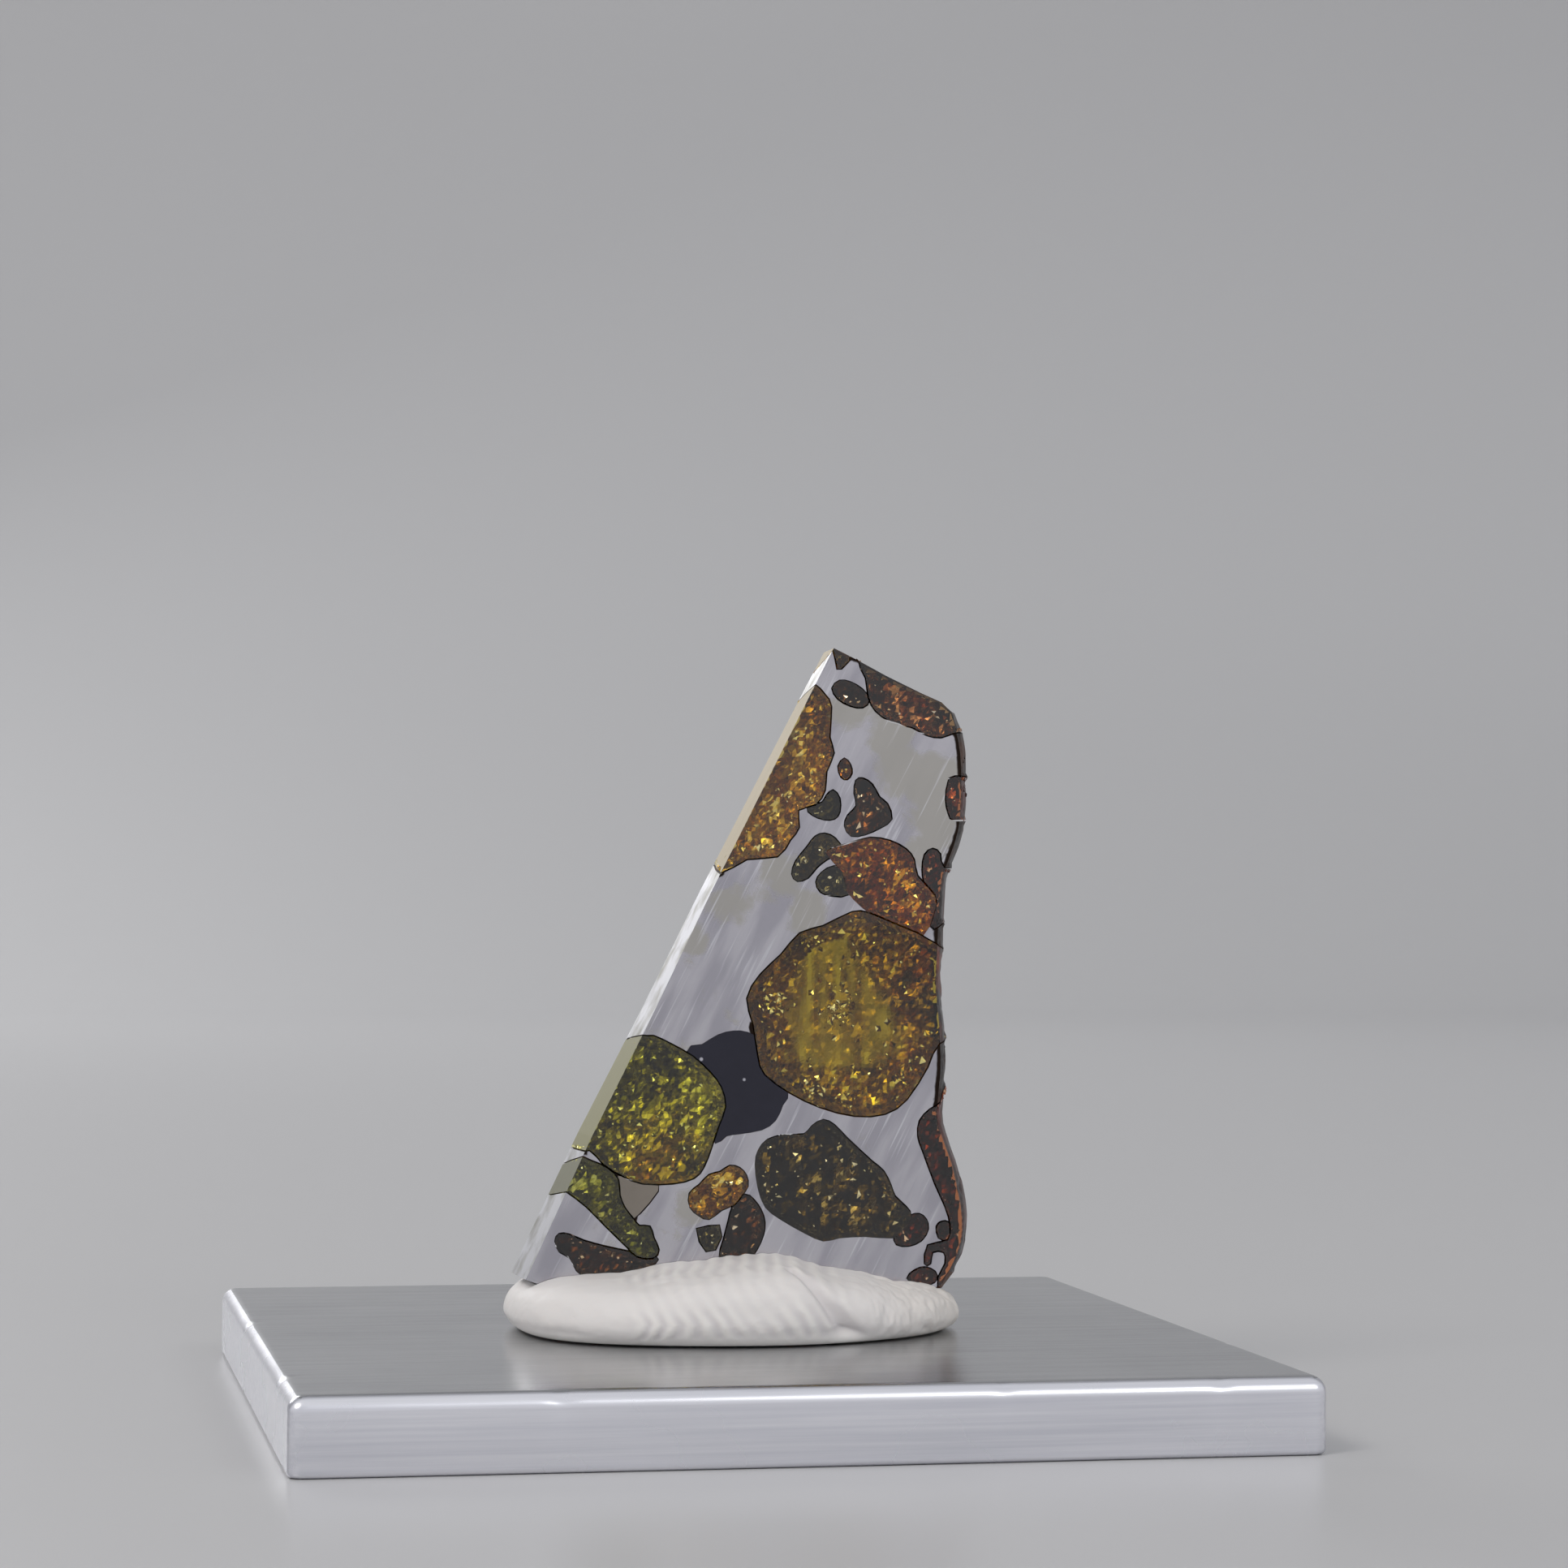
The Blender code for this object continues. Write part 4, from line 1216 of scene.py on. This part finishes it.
@dataclass
class Putty:
    """The lump of putty that holds the slice, pressed flat and marked by a fingertip."""

    centre_x: float = 0.08 * MM
    centre_y: float = -0.15 * MM
    half_width: float = 6.05 * MM
    half_depth: float = 4.75 * MM
    plan_power: float = 2.35
    foot: float = 1.95 * MM
    around: int = 640
    up: int = 128
    ridge_period: float = 0.45 * MM
    ridge_height: float = 0.034 * MM
    profile: tuple[tuple[float, float], ...] = (
        (0.0, 0.0), (0.70, 0.0), (0.90, 0.0), (0.935, 0.01), (0.975, 0.10), (1.000, 0.27), (0.985, 0.49),
        (0.940, 0.68), (0.850, 0.83), (0.680, 0.93), (0.440, 0.98), (0.180, 1.00), (0.02, 1.00),
    )
    crest: tuple[tuple[float, float], ...] = (
        (-6.2, 1.62), (-4.4, 1.66), (-3.0, 1.60), (-1.6, 1.86), (1.0, 2.02), (2.6, 1.70), (4.6, 1.42),
        (6.3, 1.30),
    )
    slot_reach: float = 4.6 * MM
    slot_room: float = 0.03 * MM

    def plan_radius(self, angle: np.ndarray) -> np.ndarray:
        """Gives the plan radius at each angle: a superellipse with soft lobes round it."""
        c = np.abs(np.cos(angle)) / self.half_width
        s = np.abs(np.sin(angle)) / self.half_depth
        radius = (c**self.plan_power + s**self.plan_power) ** (-1 / self.plan_power)
        return radius + (0.10 * np.sin(3 * angle + 0.6) + 0.07 * np.sin(5 * angle + 2.1)) * MM

    def plain(self, angle: np.ndarray, share: np.ndarray, rise: np.ndarray) -> np.ndarray:
        """Gives the surface of the lump before ridges and creases, for arrays of angle and profile."""
        radius = self.plan_radius(angle) * share
        x = self.centre_x + radius * np.cos(angle)
        y = self.centre_y + radius * np.sin(angle)
        table = np.array(self.crest) * MM
        place = np.clip(x, table[0, 0], table[-1, 0])
        cell = np.clip(np.searchsorted(table[:, 0], place) - 1, 0, len(table) - 2)
        t = (place - table[cell, 0]) / (table[cell + 1, 0] - table[cell, 0])
        crest = table[cell, 1] + (table[cell + 1, 1] - table[cell, 1]) * t * t * (3 - 2 * t)
        return np.stack((x, y, self.foot + crest * rise), axis=-1)

    def ridges(self, points: np.ndarray) -> np.ndarray:
        """Gives the height of the skin ridges pressed into the putty.

        The ridges are waves of x minus a slant that grows on the way down. Towards the left the slant
        turns back half way down, which bends the ridges to chevrons. Noise makes the waves wander.
        """
        x, y, z = points[:, 0], points[:, 1], points[:, 2]
        back = y > self.centre_y
        way = np.where(back, -1.0, 1.0)
        down = np.maximum(3.95 * MM - z, 0.0) + 0.35 * np.maximum(4.3 * MM - np.abs(y - self.centre_y), 0.0)
        turn_at = 1.45 * MM
        upper = np.minimum(down, turn_at)
        lower = np.maximum(down - turn_at, 0.0)
        chevron = 1.0 - smooth_step(x * way, -2.4 * MM, -0.4 * MM)
        slant = 0.62 * upper + lower * (0.62 * (1.0 - chevron) - 0.45 * chevron)
        wander = 0.16 * MM * layered_noise(points, 1.5 * MM, 3, 21)
        wave = np.cos(2.0 * math.pi * (x * way - slant + wander) / self.ridge_period)
        reach = smooth_step(x * way, -3.6 * MM, -2.7 * MM) * (1.0 - smooth_step(x * way, 2.3 * MM, 3.2 * MM))
        flank = smooth_step(down, 0.15 * MM, 0.5 * MM) * smooth_step(z, self.foot, self.foot + 0.25 * MM)
        press = 0.25 + 0.75 * smooth_step(lattice_noise(points, 1.1 * MM, 25), 0.25, 0.65)
        return (np.sign(wave) * np.abs(wave) ** 0.8) * reach * flank * press

    def crinkles(self, points: np.ndarray) -> np.ndarray:
        """Gives the height of the rough crinkles at the right end: ridged noise, squeezed along x."""
        squeezed = points * np.array((1.9, 1.0, 0.75))
        folds = 1.0 - np.abs(layered_noise(squeezed, 0.75 * MM, 3, 33))
        reach = smooth_step(points[:, 0], 2.6 * MM, 3.8 * MM)
        return (folds - 0.6) * reach

    def build(self, slice_nodes: dict[str, bpy.types.Object]) -> bpy.types.Object:
        """Makes the lump: the plain surface, pushed along its normals, with the slot for the slice."""
        profile = spline_rows(np.array(self.profile), self.up)
        profile[:, 0] = np.clip(profile[:, 0], 0.004, 1.01)
        profile[:, 1] = np.clip(profile[:, 1], 0.0, 1.0)
        turn = np.linspace(0.0, 2.0 * math.pi, self.around, endpoint=False)
        angle = np.broadcast_to(turn[None, :], (self.up, self.around))
        share = np.broadcast_to(profile[:, :1], angle.shape)
        rise = np.broadcast_to(profile[:, 1:], angle.shape)
        surface = self.plain(angle, share, rise)
        across = np.gradient(surface, axis=0)
        along = np.roll(surface, -1, axis=1) - np.roll(surface, 1, axis=1)
        normal = np.cross(along, across)
        normal /= np.maximum(np.linalg.norm(normal, axis=2), 1e-12)[..., None]
        flat = surface.reshape(-1, 3)
        skin = smooth_step(rise.ravel(), 0.02, 0.16)
        ridge = self.ridges(flat)
        height = 0.5 * self.ridge_height * (ridge - 0.5)
        height += 0.10 * MM * (self.crinkles(flat) - 0.15)
        height += 0.05 * MM * layered_noise(flat, 1.5 * MM, 2, 41)
        height += 0.014 * MM * layered_noise(flat, 0.35 * MM, 3, 45)
        fold_at = np.radians(-76.0 + 15.0 * (1.0 - rise.ravel()) ** 0.8)
        off = (angle.ravel() - fold_at + math.pi) % (2 * math.pi) - math.pi
        width = np.radians(1.6 + 3.6 * (1.0 - rise.ravel()))
        groove = np.exp(-(off / width) ** 2) * (share.ravel() > 0.7)
        height -= (0.10 + 0.26 * (1.0 - rise.ravel())) * MM * groove
        flat = flat + normal.reshape(-1, 3) * (height * skin)[:, None]
        flat[:, 2] = np.maximum(flat[:, 2], self.foot)
        mesh = wrapped_grid(flat.reshape(surface.shape), "putty")
        # painted shade: marks the valleys of the ridges and the fold groove for the putty's greyer colour
        valley_shade = np.clip(0.5 - 0.5 * ridge + 1.2 * groove, 0.0, 1.0) * skin
        write_shares(mesh, "valley_shade", "POINT", np.concatenate((valley_shade, (0.0, 0.0))))
        piece = mesh_object("putty_lump", mesh, [AdhesivePutty().build()], ("putty",))
        self.cut_slot(piece, slice_nodes)
        return piece

    def cut_slot(self, piece: bpy.types.Object, slice_nodes: dict[str, bpy.types.Object]) -> None:
        """Cuts the slot: the hull of the slice's foot, a little larger, is taken out of the lump."""
        places = np.concatenate([np.array([v.co for v in n.data.vertices]) for n in slice_nodes.values()])
        low = places[places[:, 2] < self.slot_reach]
        hull = bmesh.new()
        for place in low.tolist():
            hull.verts.new(place)
        bmesh.ops.convex_hull(hull, input=hull.verts)
        loose = [v for v in hull.verts if not v.link_faces]
        bmesh.ops.delete(hull, geom=loose, context="VERTS")
        middle = low.mean(axis=0)
        for vertex in hull.verts:
            away = np.array(vertex.co) - middle
            vertex.co = middle + away + np.sign(away) * self.slot_room
        bmesh.ops.recalc_face_normals(hull, faces=hull.faces)
        data = bpy.data.meshes.new("slot")
        hull.to_mesh(data)
        hull.free()
        cutter = put_in_scene("slot", data)
        step = piece.modifiers.new("slot", "BOOLEAN")
        step.object = cutter
        step.operation = "DIFFERENCE"
        step.solver = "EXACT"
        graph = bpy.context.evaluated_depsgraph_get()
        cut = bpy.data.meshes.new_from_object(piece.evaluated_get(graph))
        piece.modifiers.clear()
        old = piece.data
        piece.data = cut
        bpy.data.meshes.remove(old)
        bpy.data.objects.remove(cutter, do_unlink=True)


@dataclass
class Studio:
    """Camera, pale floor and soft lights."""

    focal_pixels: float = 4834.8
    frame_pixels: float = 1932.0
    sensor: float = 36.0
    eye: tuple[float, float, float] = (-19.519 * MM, -102.853 * MM, 13.571 * MM)
    yaw: float = -0.2019
    pitch: float = 0.0267
    roll: float = -0.0062
    aim: tuple[float, float, float] = (0.0, 0.0, 0.009)
    floor_half: float = 1.5
    floor_front: float = -1.4
    wall_foot: float = 0.30
    wall_bend: float = 0.15
    wall_top: float = 1.4

    def build(self) -> None:
        """Sets the camera, the floor, the lights and the surroundings."""
        self.place_camera()
        self.lay_floor()
        self.light("key", (-0.28, -0.20, 0.34), (0.15, 0.15), 0.60, "FFFAF4")
        self.light("fill", (0.22, -0.42, 0.30), (0.16, 0.12), 0.30, "FFFFFF")
        self.light("back", (-0.13, 0.34, 0.17), (0.16, 0.12), 0.30, "FFFFFF")
        self.surround()

    def place_camera(self) -> None:
        """Stands the camera where the picture was taken from."""
        data = bpy.data.cameras.new("camera")
        data.sensor_width = self.sensor
        data.lens = self.focal_pixels / self.frame_pixels * self.sensor
        data.clip_start = 5.0 * MM
        data.clip_end = 20.0
        camera = put_in_scene("camera", data)
        turn = (Matrix.Rotation(self.yaw, 4, "Z") @ Matrix.Rotation(self.pitch, 4, "X")
                @ Matrix.Rotation(self.roll, 4, "Y") @ Matrix.Rotation(math.pi / 2, 4, "X"))
        camera.matrix_world = Matrix.Translation(self.eye) @ turn
        bpy.context.scene.camera = camera

    def lay_floor(self) -> None:
        """Lays the floor: a level run, then a quarter circle of 150 mm radius up to a wall."""
        bend = np.linspace(0.0, math.pi / 2, 25)
        depth = np.concatenate(((self.floor_front,), self.wall_foot + self.wall_bend * np.sin(bend),
                                (self.wall_foot + self.wall_bend,)))
        level = np.concatenate(((0.0,), self.wall_bend * (1 - np.cos(bend)), (self.wall_top,)))
        across = np.linspace(-self.floor_half, self.floor_half, 31)
        x, y = np.meshgrid(across, depth, indexing="ij")
        points = np.stack((x, y, np.broadcast_to(level, x.shape)), axis=-1).reshape(-1, 3)
        index = np.arange(len(points)).reshape(x.shape)
        corners = (index[:-1, :-1], index[1:, :-1], index[1:, 1:], index[:-1, 1:])
        mesh = raw_mesh("floor", points, np.stack(corners, axis=-1).reshape(-1, 4), True)
        mesh.materials.append(PaleFloor().build())
        floor = put_in_scene("floor", mesh)

    def light(self, name: str, place: tuple, size: tuple, power: float, colour: str) -> None:
        """Hangs a soft rectangular light that looks at the slice."""
        data = bpy.data.lights.new(name, "AREA")
        data.shape = "RECTANGLE"
        data.size, data.size_y = size
        data.energy = power
        data.color = linear(colour)
        lamp = put_in_scene(name, data)
        lamp.location = place
        way = Vector(self.aim) - Vector(place)
        lamp.rotation_euler = way.to_track_quat("-Z", "Y").to_euler()

    def surround(self) -> None:
        """Fills the surroundings with soft light, lighter above than at the horizon."""
        world = bpy.data.worlds.new("studio")
        world.use_nodes = True
        tree = world.node_tree
        way = add_node(tree, "TexCoord").outputs["Generated"]
        up = add_node(tree, "SeparateXYZ", None, {"Vector": way}).outputs["Z"]
        share = add_node(tree, "MapRange", {"interpolation_type": "SMOOTHSTEP"},
                         {"Value": up, "From Min": -0.1, "From Max": 0.8})
        colour = add_node(tree, "Mix", {"data_type": "RGBA"},
                          {0: share.outputs["Result"], 6: rgba("E6E6EA"), 7: rgba("F2F3F6")})
        set_inputs(tree, tree.nodes["Background"], {"Color": colour.outputs[2], "Strength": 0.80})
        bpy.context.scene.world = world
        bpy.context.scene.view_settings.view_transform = "Standard"


LARGE_WINDOW = (
    (1.56, 11.75), (2.10, 12.30), (3.20, 12.60), (3.98, 11.22), (5.00, 9.36), (4.30, 8.75), (2.40, 8.55),
    (1.50, 9.00), (1.34, 10.46),
)

LARGE_CLUSTERS = (
    (2.88 * MM, 10.46 * MM, 0.26 * MM, 44), (1.12 * MM, 10.55 * MM, 0.18 * MM, 30),
    (2.15 * MM, 12.20 * MM, 0.15 * MM, 20), (2.15 * MM, 8.25 * MM, 0.20 * MM, 24),
    (3.12 * MM, 7.90 * MM, 0.15 * MM, 16), (4.70 * MM, 8.55 * MM, 0.12 * MM, 10),
)


def crystals(survey: SliceSurvey) -> list[Crystal]:
    """Lists the crystals of the slice with how each is dressed."""
    made = {}
    for colour in OLIVINES.values():
        made.update(colour.build())
    large = (Patch(5.4, 11.6, 0.8, 0.06, 0.45), Patch(0.9, 10.2, 0.7, -0.22),
             Patch(4.6, 10.4, 0.8, -0.08, 0.1), Patch(3.0, 7.7, 0.8, 0.12),
             Patch(4.9, 8.8, 0.6, 0.05, 0.2), Patch(2.7, 10.4, 1.5, 0.0, 0.0, 0.75))
    crown = (Patch(5.4, 18.7, 1.1, 0.25, 0.5),)
    lower_left = (Patch(-0.9, 8.2, 0.45, 0.55), Patch(-1.9, 6.3, 1.2, 0.05, 0.35),
                  Patch(-1.6, 8.8, 0.7, -0.25))
    rows = (
        ("large", "amber", 150, {"level": 0.06, "patches": large}),
        ("upper", "honey", 60, {"level": 0.04, "warm": 0.04}),
        ("saw_edge", "gold", 60, {"level": 0.04}),
        ("crown", "umber", 20, {"level": 0.12, "patches": crown}),
        ("tip", "gold", 6, {}),
        ("bean", "umber", 8, {"level": -0.05}),
        ("droplet", "honey", 4, {}),
        ("twin", "umber", 10, {"level": -0.08}),
        ("smoky", "olive", 6, {"level": -0.08}),
        ("fork", "olive", 10, {"level": 0.12, "warm": 0.1}),
        ("oval", "olive", 6, {}),
        ("side_bean", "garnet", 8, {}),
        ("side_twin", "garnet", 10, {}),
        ("lower_left", "lime", 90, {"level": 0.08, "patches": lower_left}),
        ("green", "green", 20, {"level": 0.08}),
        ("foot_left", "umber", 12, {"level": -0.05}),
        ("cluster", "gold", 20, {"level": 0.05}),
        ("shield", "olive", 6, {"level": 0.1}),
        ("black", "umber", 10, {"level": -0.12}),
        ("lower_right", "bronze", 70, {"stretch": 3.0, "contrast": 1.25, "level": -0.06}),
        ("bead", "garnet", 5, {"level": -0.1}),
        ("lower_side", "garnet", 8, {"level": -0.05}),
        ("side_bead", "garnet", 3, {}),
        ("foot_right", "garnet", 4, {}),
    )
    found = [Crystal(f"olivine_{name}", colour, survey, made, 100 + 10 * i,
                     CrackPattern(100 + 10 * i, **cracks), glints=glints)
             for i, (name, colour, glints, cracks) in enumerate(rows)]
    found[0].window, found[0].clusters = LARGE_WINDOW, LARGE_CLUSTERS
    return found


def main() -> None:
    """Builds the scene piece by piece."""
    logging.basicConfig(level=logging.INFO, format="%(name)s %(message)s")
    Studio().build()
    slice_nodes = {name: node for name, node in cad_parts.items() if name not in STAND_NODES}
    survey = SliceSurvey(slice_nodes)
    Plate().build()
    Putty().build(slice_nodes)
    SliceMetal(survey).build()
    OpaqueGrain("chromite_grain", "chromite", survey,
                PolishedOpaque("polished chromite", "1A1A26", "2A2A38", 0.12, 0.25, lint_share=0.8)).build()
    OpaqueGrain("troilite_patch", "troilite", survey,
                PolishedOpaque("polished troilite", "7E776E", "9A9288", 0.3, 0.8)).build()
    for crystal in crystals(survey):
        crystal.build()


if __name__ == "__main__":
    main()
